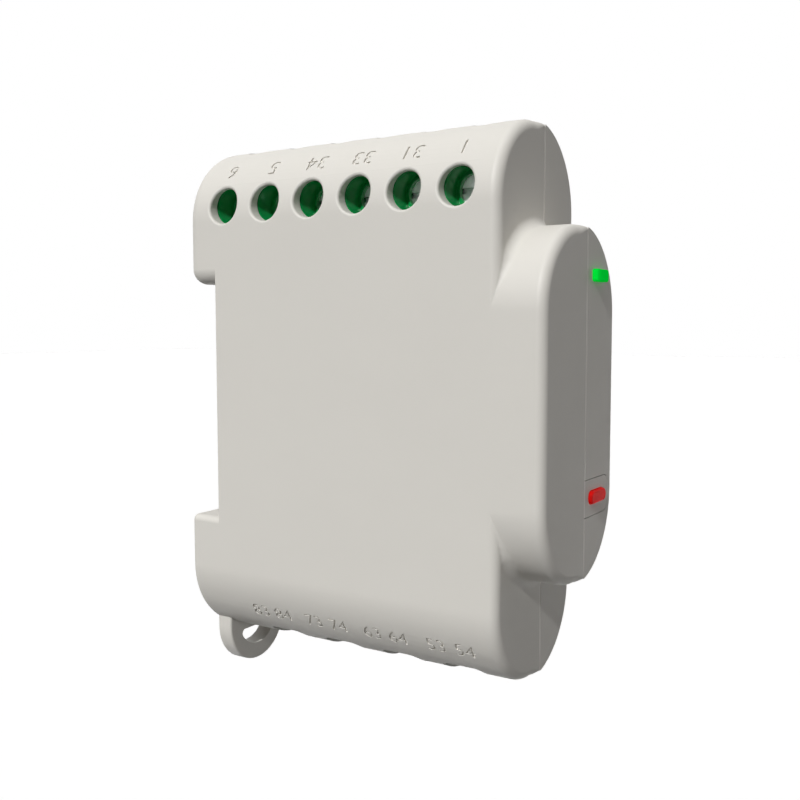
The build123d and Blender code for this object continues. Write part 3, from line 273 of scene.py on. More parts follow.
def make_moulded_grain():
    """Spark-eroded grain with soft flow marks: fine pits, and patches that shine a little more."""
    group, given, made = new_group(
        "Moulded grain",
        {"Colour": ("colour", (0.7, 0.7, 0.7, 1)), "Grain": ("value", 0.0002), "Depth": ("value", 0.00001),
         "Roughness": ("value", 0.5), "Variation": ("value", 0.02)},
        {"Colour": "colour", "Roughness": "value", "Normal": "vector"})
    where = place(group)
    scale = maths(group, "DIVIDE", 1.0, given["Grain"])
    fine = noise(group, where, scale, 3.0, 0.6)
    pits = node(group, "ShaderNodeTexVoronoi", {"Vector": where, "Scale": scale}, feature="SMOOTH_F1")
    height = maths(group, "MULTIPLY_ADD", pits.outputs["Distance"], 0.6, fine)
    normal = bump(group, height, given["Depth"])
    broad = noise(group, where, 38.0, 2.0)
    patches = noise(group, place(group, (1, 0.35, 1)), 160.0, 2.0)
    lift = maths(group, "SUBTRACT", maths(group, "MULTIPLY_ADD", patches, 0.6, broad), 0.8)
    shade = maths(group, "MULTIPLY_ADD", lift, given["Variation"], 1.0)
    bright = node(group, "ShaderNodeVectorMath", {0: given["Colour"]}, operation="SCALE")
    group.links.new(shade, bright.inputs["Scale"])
    group.links.new(bright.outputs[0], made["Colour"])
    rough = maths(group, "MULTIPLY_ADD", maths(group, "SUBTRACT", fine, 0.5), 0.10, given["Roughness"])
    rough = maths(group, "MULTIPLY_ADD", lift, 0.12, rough, clamp=True)
    group.links.new(rough, made["Roughness"])
    group.links.new(normal, made["Normal"])


def make_worn_and_highlighted_edges():
    """A mask that is 1 along sharp outer edges, broken up by a fine noise; it marks where edges are painted
    paler, for wear and as a painted highlight.
    """
    group, given, made = new_group(
        "Worn and highlighted edges", {"Width": ("value", 0.0002), "Amount": ("value", 1.0)}, {"Mask": "value"})
    rounded = node(group, "ShaderNodeBevel", {"Radius": given["Width"]}, samples=4).outputs["Normal"]
    flat = node(group, "ShaderNodeNewGeometry").outputs["Normal"]
    dot = node(group, "ShaderNodeVectorMath", {0: rounded, 1: flat}, operation="DOT_PRODUCT").outputs["Value"]
    edge = span(group, maths(group, "SUBTRACT", 1.0, dot), 0.02, 0.25)
    broken = span(group, noise(group, place(group), 900.0, 3.0), 0.35, 0.62)
    mask = maths(group, "MULTIPLY", edge, broken)
    group.links.new(maths(group, "MULTIPLY", mask, given["Amount"], clamp=True), made["Mask"])


def make_turned_rings():
    """Rings left by the lathe on each screw, and the thread along its shank."""
    group, given, made = new_group(
        "Turned rings", {"Pitch": ("value", 0.0005), "Shank": ("value", 0.0015)},
        {"Rings": "value", "Thread": "value", "Streaks": "value"})
    parts = node(group, "ShaderNodeSeparateXYZ", {0: place(group)}).outputs
    shifted = maths(group, "SUBTRACT", parts["Y"], POLE[-1].y - POLE_PITCH / 2)
    across = maths(group, "SUBTRACT", maths(group, "MODULO", shifted, POLE_PITCH), POLE_PITCH / 2)
    up = maths(group, "SUBTRACT", parts["Z"], POLE[0].z)
    squares = maths(group, "MULTIPLY_ADD", across, across, maths(group, "MULTIPLY", up, up))
    radius = maths(group, "SQRT", squares)
    rings = maths(group, "SINE", maths(group, "MULTIPLY", radius, 2 * pi / 0.00013))
    around = maths(group, "DIVIDE", maths(group, "ARCTAN2", up, across), 2 * pi)
    along = maths(group, "ADD", maths(group, "DIVIDE", parts["X"], given["Pitch"]), around)
    wave = maths(group, "PINGPONG", along, 0.5)
    inside = maths(group, "LESS_THAN", radius, maths(group, "ADD", given["Shank"], 0.00003))
    group.links.new(maths(group, "MULTIPLY", wave, inside), made["Thread"])
    group.links.new(maths(group, "MULTIPLY_ADD", rings, 0.5, 0.5), made["Rings"])
    far = maths(group, "MULTIPLY", radius, 6000.0)
    polar = node(group, "ShaderNodeCombineXYZ", {"X": far, "Y": across, "Z": up})
    group.links.new(noise(group, polar.outputs[0], 1.0, 3.0), made["Streaks"])


def make_drawn_metal():
    """Fine lines along one direction, with cloudy patches of plating."""
    group, given, made = new_group(
        "Drawn metal", {"Vector": ("vector", None), "Roughness": ("value", 0.3)},
        {"Roughness": "value", "Height": "value", "Cloud": "value"})
    lines = noise(group, given["Vector"], 1.0, 4.0, 0.6)
    cloud = noise(group, place(group), 420.0, 3.0)
    rough = maths(group, "MULTIPLY_ADD", maths(group, "SUBTRACT", lines, 0.5), 0.3, given["Roughness"])
    rough = maths(group, "MULTIPLY_ADD", maths(group, "SUBTRACT", cloud, 0.5), 0.25, rough, clamp=True)
    group.links.new(rough, made["Roughness"])
    group.links.new(lines, made["Height"])
    group.links.new(cloud, made["Cloud"])


def make_settled_dust():
    """A mask of dust on faces that look up, thicker in soft patches."""
    group, given, made = new_group("Settled dust", {"Amount": ("value", 0.1)}, {"Mask": "value"})
    up = node(group, "ShaderNodeSeparateXYZ", {0: node(group, "ShaderNodeNewGeometry").outputs["Normal"]})
    facing = span(group, up.outputs["Z"], 0.3, 1.0)
    patch = span(group, noise(group, place(group), 120.0, 4.0, 0.6), 0.3, 0.75)
    mask = maths(group, "MULTIPLY", facing, patch)
    group.links.new(maths(group, "MULTIPLY", mask, given["Amount"], clamp=True), made["Mask"])


GROUPS = {
    "Moulded grain": make_moulded_grain,
    "Worn and highlighted edges": make_worn_and_highlighted_edges,
    "Turned rings": make_turned_rings,
    "Drawn metal": make_drawn_metal,
    "Settled dust": make_settled_dust,
}


def need_groups():
    """Builds the shared effects once."""
    for name, make in GROUPS.items():
        if name not in bpy.data.node_groups:
            make()


def new_material(name, **plain):
    """A material with one Principled shader, whose plain values are set on its own sockets."""
    need_groups()
    material = bpy.data.materials.new(name)
    material.use_nodes = True
    tree = material.node_tree
    tree.nodes.clear()
    shader = tree.nodes.new("ShaderNodeBsdfPrincipled")
    output = tree.nodes.new("ShaderNodeOutputMaterial")
    tree.links.new(shader.outputs[0], output.inputs["Surface"])
    for socket, value in plain.items():
        shader.inputs[socket.replace("_", " ")].default_value = value
    return material, tree, shader.inputs


def finish(material, *names):
    """Gives CAD nodes their material."""
    for name in names:
        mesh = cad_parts[name].data
        mesh.materials.clear()
        mesh.materials.append(material)


def colour4(colour):
    return (*colour, 1.0)


def moulded_plastic(name, colour, grain, depth, roughness, variation=0.03, wear_and_highlight=0.25, edge=0.0002,
                    pale=(0.9, 0.9, 0.88), **plain):
    """Moulded plastic: its grain and colour drift, with smoother edges that are paler from wear and from a
    painted highlight.
    """
    material, tree, shader = new_material(name, **plain)
    skin = use(tree, "Moulded grain", Colour=colour4(colour), Grain=grain, Depth=depth,
               Roughness=roughness, Variation=variation)
    worn_and_highlight = use(tree, "Worn and highlighted edges", Width=edge, Amount=wear_and_highlight)["Mask"]
    # Paler edges: wear and a painted highlight.
    tree.links.new(tint(tree, worn_and_highlight, skin["Colour"], pale), shader["Base Color"])
    smooth = maths(tree, "MULTIPLY_ADD", worn_and_highlight, -0.15, skin["Roughness"], clamp=True)
    tree.links.new(smooth, shader["Roughness"])
    tree.links.new(skin["Normal"], shader["Normal"])
    return material, tree, shader


def housing_plastic(look):
    """Warm light grey plastic: fine spark-eroded grain, edges paler from wear and a painted highlight, a
    painted seam highlight and a breath of dust.
    """
    material, tree, shader = new_material("Housing plastic", IOR=1.5)
    skin = use(tree, "Moulded grain", Colour=colour4(look.housing), Grain=look.grain,
               Depth=look.grain_depth, Roughness=0.52, Variation=0.035)
    worn_and_highlight = use(tree, "Worn and highlighted edges", Width=0.00025, Amount=0.7)["Mask"]
    dust = use(tree, "Settled dust", Amount=0.06)["Mask"]
    # Paler edges, for wear and as a painted highlight.
    worn_and_highlighted = tint(tree, worn_and_highlight, skin["Colour"], (0.82, 0.81, 0.77))
    # Painted highlight: a paler band up to 0.3 mm to each side of the seam stands in for light caught by the
    # seam's edges.
    across = node(tree, "ShaderNodeSeparateXYZ", {0: place(tree)}).outputs["X"]
    apart = maths(tree, "ABSOLUTE", maths(tree, "SUBTRACT", across, LID_LOW.x))
    line = span(tree, apart, 0.00012, 0.0003, 1.0, 0.0)
    worn_and_highlighted = tint(tree, line, worn_and_highlighted, (1.0, 0.97, 0.92))
    dusty = tint(tree, dust, worn_and_highlighted, (0.60, 0.58, 0.53))
    tree.links.new(dusty, shader["Base Color"])
    rough = maths(tree, "MULTIPLY_ADD", worn_and_highlight, -0.14, skin["Roughness"])
    rough = maths(tree, "MULTIPLY_ADD", dust, 0.5, rough, clamp=True)
    tree.links.new(rough, shader["Roughness"])
    tree.links.new(skin["Normal"], shader["Normal"])
    return material


def metal(name, colour, dark, roughness, stretch, depth=0.000002, turn=(0, 0, 0)):
    """Plated sheet or wire, with fine lines along one direction and cloudy plating."""
    material, tree, shader = new_material(name, Metallic=1.0)
    lines = place(tree, stretch, (0, 0, 0), turn)
    drawn = use(tree, "Drawn metal", Vector=lines, Roughness=roughness)
    clouded = tint(tree, span(tree, drawn["Cloud"], 0.35, 0.7), dark, colour)
    worn_and_highlight = use(tree, "Worn and highlighted edges", Width=0.00012, Amount=0.7)["Mask"]
    # Paler edges: wear and a painted highlight.
    tree.links.new(tint(tree, worn_and_highlight, clouded, (0.92, 0.92, 0.9)), shader["Base Color"])
    rough = maths(tree, "MULTIPLY_ADD", worn_and_highlight, -0.12, drawn["Roughness"], clamp=True)
    tree.links.new(rough, shader["Roughness"])
    tree.links.new(bump(tree, drawn["Height"], depth), shader["Normal"])
    return material


def screw_zinc(look):
    """Zinc-plated screws: lathe rings and driver scuffs on the heads, threads on the shanks."""
    material, tree, shader = new_material("Screw zinc", Metallic=1.0)
    turned = use(tree, "Turned rings", Pitch=look.thread_pitch)
    drawn = use(tree, "Drawn metal", Vector=place(tree, (900, 900, 900)), Roughness=0.38)
    clouded = tint(tree, span(tree, drawn["Cloud"], 0.3, 0.7), (0.78, 0.79, 0.80), (0.92, 0.92, 0.92))
    scuffs = span(tree, turned["Streaks"], 0.58, 0.68)
    scuffed = tint(tree, maths(tree, "MULTIPLY", scuffs, 0.5), clouded, (0.60, 0.60, 0.59))
    worn_and_highlight = use(tree, "Worn and highlighted edges", Width=0.00012, Amount=0.8)["Mask"]
    # Paler edges: wear and a painted highlight.
    tree.links.new(tint(tree, worn_and_highlight, scuffed, (0.90, 0.90, 0.88)), shader["Base Color"])
    rough = maths(tree, "MULTIPLY_ADD", turned["Rings"], 0.08, drawn["Roughness"])
    tree.links.new(maths(tree, "MULTIPLY_ADD", worn_and_highlight, -0.1, rough, clamp=True), shader["Roughness"])
    rings = bump(tree, turned["Rings"], 0.0000015)
    tree.links.new(bump(tree, turned["Thread"], 0.0004, rings), shader["Normal"])
    return material


class METER_OT_housing_finish(bpy.types.Operator):
    """Gives the two halves of the housing and the rail latch their moulded finish"""

    bl_idname = "meter.housing_finish"
    bl_label = "Housing finish"

    def execute(self, context):
        look = context.scene.meter_finishes
        finish(housing_plastic(look), "case_shell", "case_lid")
        latch = tuple(0.97 * c for c in look.housing)
        material, _, _ = moulded_plastic("Latch plastic", latch, look.grain * 0.6, look.grain_depth * 0.6,
                                         0.40, wear_and_highlight=0.35, pale=(0.84, 0.83, 0.80))
        finish(material, "rail_latch")
        return {"FINISHED"}


class METER_OT_terminal_finish(bpy.types.Operator):
    """Gives the terminal block and the current sockets their green plastic"""

    bl_idname = "meter.terminal_finish"
    bl_label = "Terminal finish"

    def execute(self, context):
        look = context.scene.meter_finishes
        # Edge colour, painted on edges for wear and as a painted highlight.
        pale = tuple(min(1.0, 1.6 * c + 0.04) for c in look.terminal)
        material, _, _ = moulded_plastic("Terminal plastic", look.terminal, 0.0004, 0.000003, 0.22,
                                         variation=0.10, wear_and_highlight=0.5, pale=pale, Specular_IOR_Level=0.2)
        finish(material, "terminal_block", *[f"current_socket_{k}" for k in SOCKETS])
        return {"FINISHED"}


class METER_OT_metal_finish(bpy.types.Operator):
    """Gives the screws, cages, contacts, pins and spring their metal"""

    bl_idname = "meter.metal_finish"
    bl_label = "Metal finish"

    def execute(self, context):
        look = context.scene.meter_finishes
        finish(screw_zinc(look), *[f"terminal_screw_{k}" for k in POLES])
        cage = metal("Cage zinc", (0.66, 0.66, 0.64), (0.48, 0.49, 0.50), 0.32, (400, 400, 5000))
        finish(cage, *[f"clamp_cage_{k}" for k in POLES])
        tin = metal("Tinned copper", (0.80, 0.79, 0.75), (0.62, 0.61, 0.58), 0.24, (900, 5000, 900))
        finish(tin, "terminal_contacts", "socket_pins")
        wire = metal("Spring wire", (0.60, 0.60, 0.62), (0.38, 0.39, 0.41), 0.26, (6000, 6000, 900))
        finish(wire, "latch_spring")
        return {"FINISHED"}


def lamp_plastic(look):
    """Tinted clear plastic lit from behind, with a painted highlight at the end that faces the key light."""
    material, tree, shader = new_material(
        "Lamp window", IOR=1.49, Specular_IOR_Level=0.0,
        Emission_Strength=look.lamp_glow)
    low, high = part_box("light_pipe")
    parts = node(tree, "ShaderNodeSeparateXYZ", {0: place(tree)}).outputs
    wide = high.x - low.x
    # Painted highlight: the end towards -X, which faces the key light, is made brighter in both glow and
    # colour.
    painted_lit_end = span(tree, parts["X"], low.x + 0.15 * wide, low.x + 0.45 * wide, 1.0, 0.82)
    middle_z = (low.z + high.z) / 2
    up = maths(tree, "ABSOLUTE", maths(tree, "SUBTRACT", parts["Z"], middle_z))
    edge = span(tree, up, (high.z - low.z) * 0.20, (high.z - low.z) * 0.42, 1.0, 0.80)
    swirl = noise(tree, place(tree, (1, 0.4, 1)), 1500.0, 3.0)
    cloudy = span(tree, swirl, 0.2, 0.8, 0.92, 1.0)
    level = maths(tree, "MULTIPLY", maths(tree, "MULTIPLY", painted_lit_end, edge), cloudy)
    tree.links.new(tint(tree, level, (0, 0, 0), look.lamp), shader["Emission Color"])
    tinted = tuple(0.4 * c for c in look.lamp)
    tree.links.new(tint(tree, level, (0, 0, 0), tinted), shader["Base Color"])
    tree.links.new(span(tree, swirl, 0.2, 0.8, 0.10, 0.22), shader["Roughness"])
    tree.links.new(bump(tree, swirl, 0.000004), shader["Normal"])
    return material


def button_plastic(look):
    """Glossy translucent red plastic, a little darker in its flow marks, with a soft painted glow of its own.
    """
    pale = tuple(min(1.0, 1.1 * c + 0.05) for c in look.button)
    # Painted glow: the button shines by itself, though it holds no lamp; its edges are paler from wear and a
    # painted highlight.
    material, tree, shader = moulded_plastic(
        "Button plastic", look.button, 0.0003, 0.000003, 0.34, variation=0.12, wear_and_highlight=0.35, pale=pale,
        Specular_IOR_Level=0.02, Emission_Strength=look.button_painted_glow)
    depth = noise(tree, place(tree, (1, 1, 1.6)), 700.0, 2.0)
    deep = tuple(0.7 * c for c in look.button)
    tree.links.new(tint(tree, span(tree, depth, 0.35, 0.65), deep, look.button), shader["Emission Color"])
    return material


def lamp_body(look):
    """White resin with a lit lens."""
    material, tree, shader = new_material("Lamp body", Emission_Strength=0.9)
    low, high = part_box("status_led")
    parts = node(tree, "ShaderNodeSeparateXYZ", {0: place(tree)}).outputs
    lens = span(tree, parts["Y"], low.y + 0.0005, low.y + 0.0007, 1.0, 0.0)
    speckle = noise(tree, place(tree), 2500.0, 3.0)
    resin = tint(tree, speckle, (0.74, 0.74, 0.70), (0.84, 0.84, 0.80))
    tree.links.new(tint(tree, lens, resin, look.lamp), shader["Base Color"])
    tree.links.new(tint(tree, lens, (0.0, 0.0, 0.0), look.lamp), shader["Emission Color"])
    tree.links.new(span(tree, speckle, 0.0, 1.0, 0.2, 0.45), shader["Roughness"])
    tree.links.new(bump(tree, speckle, 0.000004), shader["Normal"])
    return material


class METER_OT_control_finish(bpy.types.Operator):
    """Gives the lamp, its window, the button and the push switch their finishes"""

    bl_idname = "meter.control_finish"
    bl_label = "Lamp and button finish"

    def execute(self, context):
        look = context.scene.meter_finishes
        finish(lamp_plastic(look), "light_pipe")
        finish(lamp_body(look), "status_led")
        finish(button_plastic(look), "reset_button")
        black, _, _ = moulded_plastic("Switch plastic", (0.022, 0.022, 0.024), 0.0002, 0.000006, 0.45,
                                      variation=0.3, wear_and_highlight=0.6, pale=(0.16, 0.16, 0.16))
        finish(black, "push_switch", "switch_plunger")
        return {"FINISHED"}


def board_laminate():
    """Green solder mask over copper tracks, with tinned pads and fibre at the cut edges."""
    material, tree, shader = new_material("Board laminate", IOR=1.5, Coat_Weight=0.35, Coat_Roughness=0.12)
    flat = node(tree, "ShaderNodeSeparateXYZ", {0: place(tree)}).outputs
    sheet = node(tree, "ShaderNodeCombineXYZ", {"X": flat["Y"], "Y": flat["Z"]}).outputs[0]
    lines = []
    for scale, width, height, share in ((1.0, 0.0131, 0.0021, 0.5), (1.0, 0.0049, 0.0083, 0.35)):
        brick = node(tree, "ShaderNodeTexBrick", {
            "Vector": sheet, "Scale": scale, "Mortar Size": 0.00017, "Mortar Smooth": 0.1,
            "Brick Width": width, "Row Height": height}, offset=share, offset_frequency=2)
        lines.append(brick.outputs["Fac"])
    holes = node(tree, "ShaderNodeTexVoronoi", {"Vector": sheet, "Scale": 390.0, "Randomness": 0.55},
                 voronoi_dimensions="2D")
    via = maths(tree, "LESS_THAN", holes.outputs["Distance"], 0.13)
    pick = maths(tree, "GREATER_THAN", noise(tree, sheet, 90.0, 0.0), 0.52)
    via = maths(tree, "MULTIPLY", via, pick)
    region = span(tree, noise(tree, sheet, 70.0, 0.0), 0.45, 0.5)
    narrow, wide = [tint(tree, line, (0, 0, 0), (1, 1, 1)) for line in lines]
    track = tint(tree, region, narrow, wide)
    mask = tint(tree, track, (0.010, 0.085, 0.030), (0.022, 0.150, 0.050))
    weave = node(tree, "ShaderNodeTexWave", {"Vector": sheet, "Scale": 700.0, "Distortion": 0.5})
    mask = tint(tree, maths(tree, "MULTIPLY", weave.outputs["Fac"], 0.12), mask, (0.03, 0.12, 0.03))
    mask = tint(tree, via, mask, (0.75, 0.73, 0.66))
    low, high = BOARD_LOW.x + 0.00006, BOARD_HIGH.x - 0.00006
    face = node(tree, "ShaderNodeSeparateXYZ", {0: node(tree, "ShaderNodeNewGeometry").outputs["Normal"]})
    edge = maths(tree, "LESS_THAN", maths(tree, "ABSOLUTE", face.outputs["X"]), 0.5)
    inner = maths(tree, "MULTIPLY", maths(tree, "GREATER_THAN", flat["X"], low),
                  maths(tree, "LESS_THAN", flat["X"], high))
    threads = noise(tree, place(tree, (9000, 700, 700)), 1.0, 2.0)
    fibre = tint(tree, threads, (0.30, 0.36, 0.16), (0.46, 0.50, 0.26))
    colour = tint(tree, maths(tree, "MULTIPLY", edge, inner), mask, fibre)
    tree.links.new(colour, shader["Base Color"])
    rough = maths(tree, "MULTIPLY_ADD", via, -0.05, 0.32)
    tree.links.new(maths(tree, "MULTIPLY_ADD", edge, 0.35, rough), shader["Roughness"])
    height = maths(tree, "MAXIMUM", track, via)
    tree.links.new(bump(tree, height, 0.00003), shader["Normal"])
    return material


def can_sleeve():
    """A dark printed sleeve with one pale stripe, and a bare aluminium top."""
    material, tree, shader = new_material("Capacitor sleeve", Coat_Weight=0.3, Coat_Roughness=0.1)
    low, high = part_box("bulk_capacitor_1")
    parts = node(tree, "ShaderNodeSeparateXYZ", {0: place(tree)}).outputs
    facing = node(tree, "ShaderNodeSeparateXYZ", {0: node(tree, "ShaderNodeNewGeometry").outputs["Normal"]})
    ends = maths(tree, "LESS_THAN", parts["X"], low.x + 0.0008)
    rim = span(tree, facing.outputs["Z"], 0.80, 0.84)
    drift = noise(tree, place(tree), 300.0, 3.0)
    sleeve = tint(tree, drift, (0.006, 0.008, 0.020), (0.014, 0.017, 0.034))
    sleeve = tint(tree, rim, sleeve, (0.55, 0.55, 0.53))
    top = tint(tree, drift, (0.60, 0.61, 0.62), (0.75, 0.76, 0.77))
    tree.links.new(tint(tree, ends, sleeve, top), shader["Base Color"])
    tree.links.new(ends, shader["Metallic"])
    tree.links.new(span(tree, drift, 0.0, 1.0, 0.22, 0.42), shader["Roughness"])
    tree.links.new(bump(tree, drift, 0.00001), shader["Normal"])
    return material


def pressed_ferrite():
    """Dark fired ferrite with a fine crumb, and paler edges that are partly chipped and partly a painted
    highlight.
    """
    material, _, _ = moulded_plastic("Pressed ferrite", (0.020, 0.020, 0.022), 0.00012, 0.00001, 0.55,
                                     variation=0.5, wear_and_highlight=0.5, pale=(0.12, 0.12, 0.13))
    return material


def coil_tape():
    """Yellow tape in turns, with the edge of each turn."""
    material, tree, shader = new_material("Coil tape")
    parts = node(tree, "ShaderNodeSeparateXYZ", {0: place(tree)}).outputs
    turns = maths(tree, "PINGPONG", maths(tree, "DIVIDE", parts["X"], 0.0021), 0.5)
    seam = span(tree, turns, 0.0, 0.06, 1.0, 0.0)
    wrinkle = noise(tree, place(tree, (1, 6, 6)), 260.0, 3.0)
    colour = tint(tree, wrinkle, (0.62, 0.40, 0.03), (0.78, 0.56, 0.06))
    seamed = tint(tree, maths(tree, "MULTIPLY", seam, 0.6), colour, (0.30, 0.17, 0.02))
    tree.links.new(seamed, shader["Base Color"])
    tree.links.new(span(tree, wrinkle, 0.2, 0.8, 0.25, 0.45), shader["Roughness"])
    height = maths(tree, "MULTIPLY_ADD", seam, -1.0, wrinkle)
    tree.links.new(bump(tree, height, 0.00002), shader["Normal"])
    return material


class METER_OT_board_finish(bpy.types.Operator):
    """Gives the circuit board and its components their finishes"""

    bl_idname = "meter.board_finish"
    bl_label = "Board finish"

    def execute(self, context):
        finish(board_laminate(), "main_board")
        finish(can_sleeve(), "bulk_capacitor_1", "bulk_capacitor_2")
        finish(pressed_ferrite(), "filter_choke", "transformer_core")
        finish(coil_tape(), "transformer_coil")
        blue, _, _ = moulded_plastic("Relay cover", (0.012, 0.052, 0.19), 0.0003, 0.000005, 0.35,
                                     variation=0.12, wear_and_highlight=0.5, pale=(0.10, 0.20, 0.42))
        finish(blue, "relay")
        yellow, _, _ = moulded_plastic("Film capacitor box", (0.62, 0.36, 0.015), 0.0003, 0.000005, 0.35,
                                       variation=0.08, wear_and_highlight=0.4, pale=(0.78, 0.55, 0.12))
        finish(yellow, "film_capacitor")
        dipped, _, _ = moulded_plastic("Dipped lacquer", (0.020, 0.060, 0.230), 0.0011, 0.00003, 0.20,
                                       variation=0.25, wear_and_highlight=0.1, pale=(0.12, 0.2, 0.4), Coat_Weight=0.5)
        finish(dipped, "varistor")
        epoxy, _, _ = moulded_plastic("Chip epoxy", (0.016, 0.016, 0.017), 0.00015, 0.000006, 0.42,
                                      variation=0.4, wear_and_highlight=0.5, pale=(0.14, 0.14, 0.14))
        finish(epoxy, "sense_resistors", "metering_chip")
        module, _, _ = moulded_plastic("Radio board", (0.010, 0.013, 0.016), 0.0006, 0.000008, 0.30,
                                       variation=0.4, wear_and_highlight=0.6, pale=(0.55, 0.42, 0.20), Coat_Weight=0.3)
        finish(module, "wireless_module")
        shield = metal("Shield steel", (0.76, 0.75, 0.72), (0.60, 0.60, 0.58), 0.30, (900, 900, 6000))
        finish(shield, "wireless_shield")
        return {"FINISHED"}


def select_only(piece):
    """Selects one piece alone and makes it the active one."""
    bpy.ops.object.select_all(action="DESELECT")
    piece.select_set(True)
    bpy.context.view_layer.objects.active = piece


def number_solid(words, height, sizes):
    """A number as one solid of its strokes, flat on the ground and centred."""
    bpy.ops.object.select_all(action="DESELECT")
    bpy.ops.object.text_add(location=(0, 0, 0))
    piece = bpy.context.object
    text = piece.data
    text.body = words
    text.align_x = "CENTER"
    text.align_y = "CENTER"
    text.size = height / 0.72
    text.offset = -sizes.thinning
    text.extrude = sizes.depth
    text.resolution_u = 3
    bpy.ops.object.convert(target="MESH")
    bpy.ops.object.mode_set(mode="EDIT")
    bpy.ops.mesh.select_all(action="SELECT")
    bpy.ops.mesh.remove_doubles(threshold=0.000004)
    bpy.ops.object.mode_set(mode="OBJECT")
    return piece


def wrap(piece, centre_z, angle, y, upright):
    """Lays a flat number on a round end, at an angle below or above its middle height."""
    side = 1 if upright else -1
    for vertex in piece.data.vertices:
        u, v, w = vertex.co
        turn = angle + side * v / HALF_WIDTH
        reach = HALF_WIDTH + w
        vertex.co = (-reach * cos(turn), y - side * u, centre_z + reach * sin(turn))
    piece.data.update()
    return piece


TOP_NUMBERS = ("6", "5", "34", "33", "31", "1")
BASE_NUMBERS = (("83", 0.01496), ("84", 0.01993), ("73", 0.02677), ("74", 0.03195),
                ("63", 0.03901), ("64", 0.04406), ("53", 0.05132), ("54", 0.05657))


class METER_OT_numbers(bpy.types.Operator):
    """Cuts plain numbers into the round ends, over the screwdriver holes and the current inputs"""

    bl_idname = "meter.numbers"
    bl_label = "Plain numbers"

    def execute(self, context):
        sizes = context.scene.meter_numbers
        top = acos((HALF_WIDTH - sizes.top_inset) / HALF_WIDTH)
        base = -acos((HALF_WIDTH - sizes.base_inset) / HALF_WIDTH)
        strokes = []
        for k, words in enumerate(TOP_NUMBERS):
            number = number_solid(words, sizes.top_height, sizes)
            strokes.append(wrap(number, TOP_ARC_Z, top, POLE[k].y, False))
        for words, back in BASE_NUMBERS:
            number = number_solid(words, sizes.base_height, sizes)
            strokes.append(wrap(number, BASE_ARC_Z, base, BACK_Y - back, True))
        shell = self.merged_shell(context)
        for number in strokes:
            cut = shell.modifiers.new("Number", "BOOLEAN")
            cut.operation = "DIFFERENCE"
            cut.solver = "MANIFOLD"
            cut.object = number
            corners = len(shell.data.vertices)
            bpy.ops.object.modifier_apply(modifier=cut.name)
            bpy.data.objects.remove(number)
            if len(shell.data.vertices) <= corners:
                raise RuntimeError("a number wasn't cut into the shell")
        bpy.ops.object.shade_smooth_by_angle(angle=radians(30))
        even = shell.modifiers.new("Even shading", "WEIGHTED_NORMAL")
        even.keep_sharp = True
        bpy.ops.object.modifier_apply(modifier=even.name)
        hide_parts("case_shell")
        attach(shell, "housing")
        return {"FINISHED"}

    def merged_shell(self, context):
        """A copy of the deep half of the housing with its triangles joined."""
        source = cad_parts["case_shell"]
        shell = source.copy()
        shell.data = source.data.copy()
        shell.name = "numbered_shell"
        shell.data.name = shell.name
        shell.parent = None
        context.collection.objects.link(shell)
        select_only(shell)
        bpy.ops.mesh.customdata_custom_splitnormals_clear()
        bpy.ops.object.mode_set(mode="EDIT")
        bpy.ops.mesh.select_all(action="SELECT")
        bpy.ops.mesh.remove_doubles(threshold=0.0000005)
        bpy.ops.object.mode_set(mode="OBJECT")
        return shell


PIN_PITCH = 0.0035
SOLDER_STEPS = ((0.10, 0.90), (0.18, 0.52), (0.26, 0.22), (0.26, 0.06), (0.20, 0.0))


def solder_metal():
    """Bright solder with a frosty drift and rings of flux round each joint."""
    material, tree, shader = new_material("Solder", Metallic=1.0)
    frost = noise(tree, place(tree), 1900.0, 4.0)
    broad = noise(tree, place(tree), 500.0, 2.0)
    colour = tint(tree, span(tree, frost, 0.35, 0.65), (0.50, 0.51, 0.52), (0.76, 0.76, 0.75))
    parts = node(tree, "ShaderNodeSeparateXYZ", {0: place(tree)}).outputs
    flux = span(tree, parts["X"], BOARD_HIGH.x, BOARD_HIGH.x + 0.00018, 0.7, 0.0)
    tree.links.new(tint(tree, flux, colour, (0.32, 0.25, 0.12)), shader["Base Color"])
    tree.links.new(span(tree, broad, 0.3, 0.7, 0.14, 0.34), shader["Roughness"])
    tree.links.new(bump(tree, maths(tree, "MULTIPLY_ADD", frost, 0.3, broad), 0.00002), shader["Normal"])
    return material


def pin_spots():
    """Where the contacts' legs and the sockets' pins come through the board, as Y and Z."""
    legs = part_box("terminal_contacts")[0].z + 0.0004
    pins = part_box("socket_pins")[1].z - 0.0005
    spots = [(pole.y, legs) for pole in POLE]
    for k in SOCKETS:
        spots += [(middle(f"current_socket_{k}").y + side * PIN_PITCH / 2, pins) for side in (-1, 1)]
    return spots


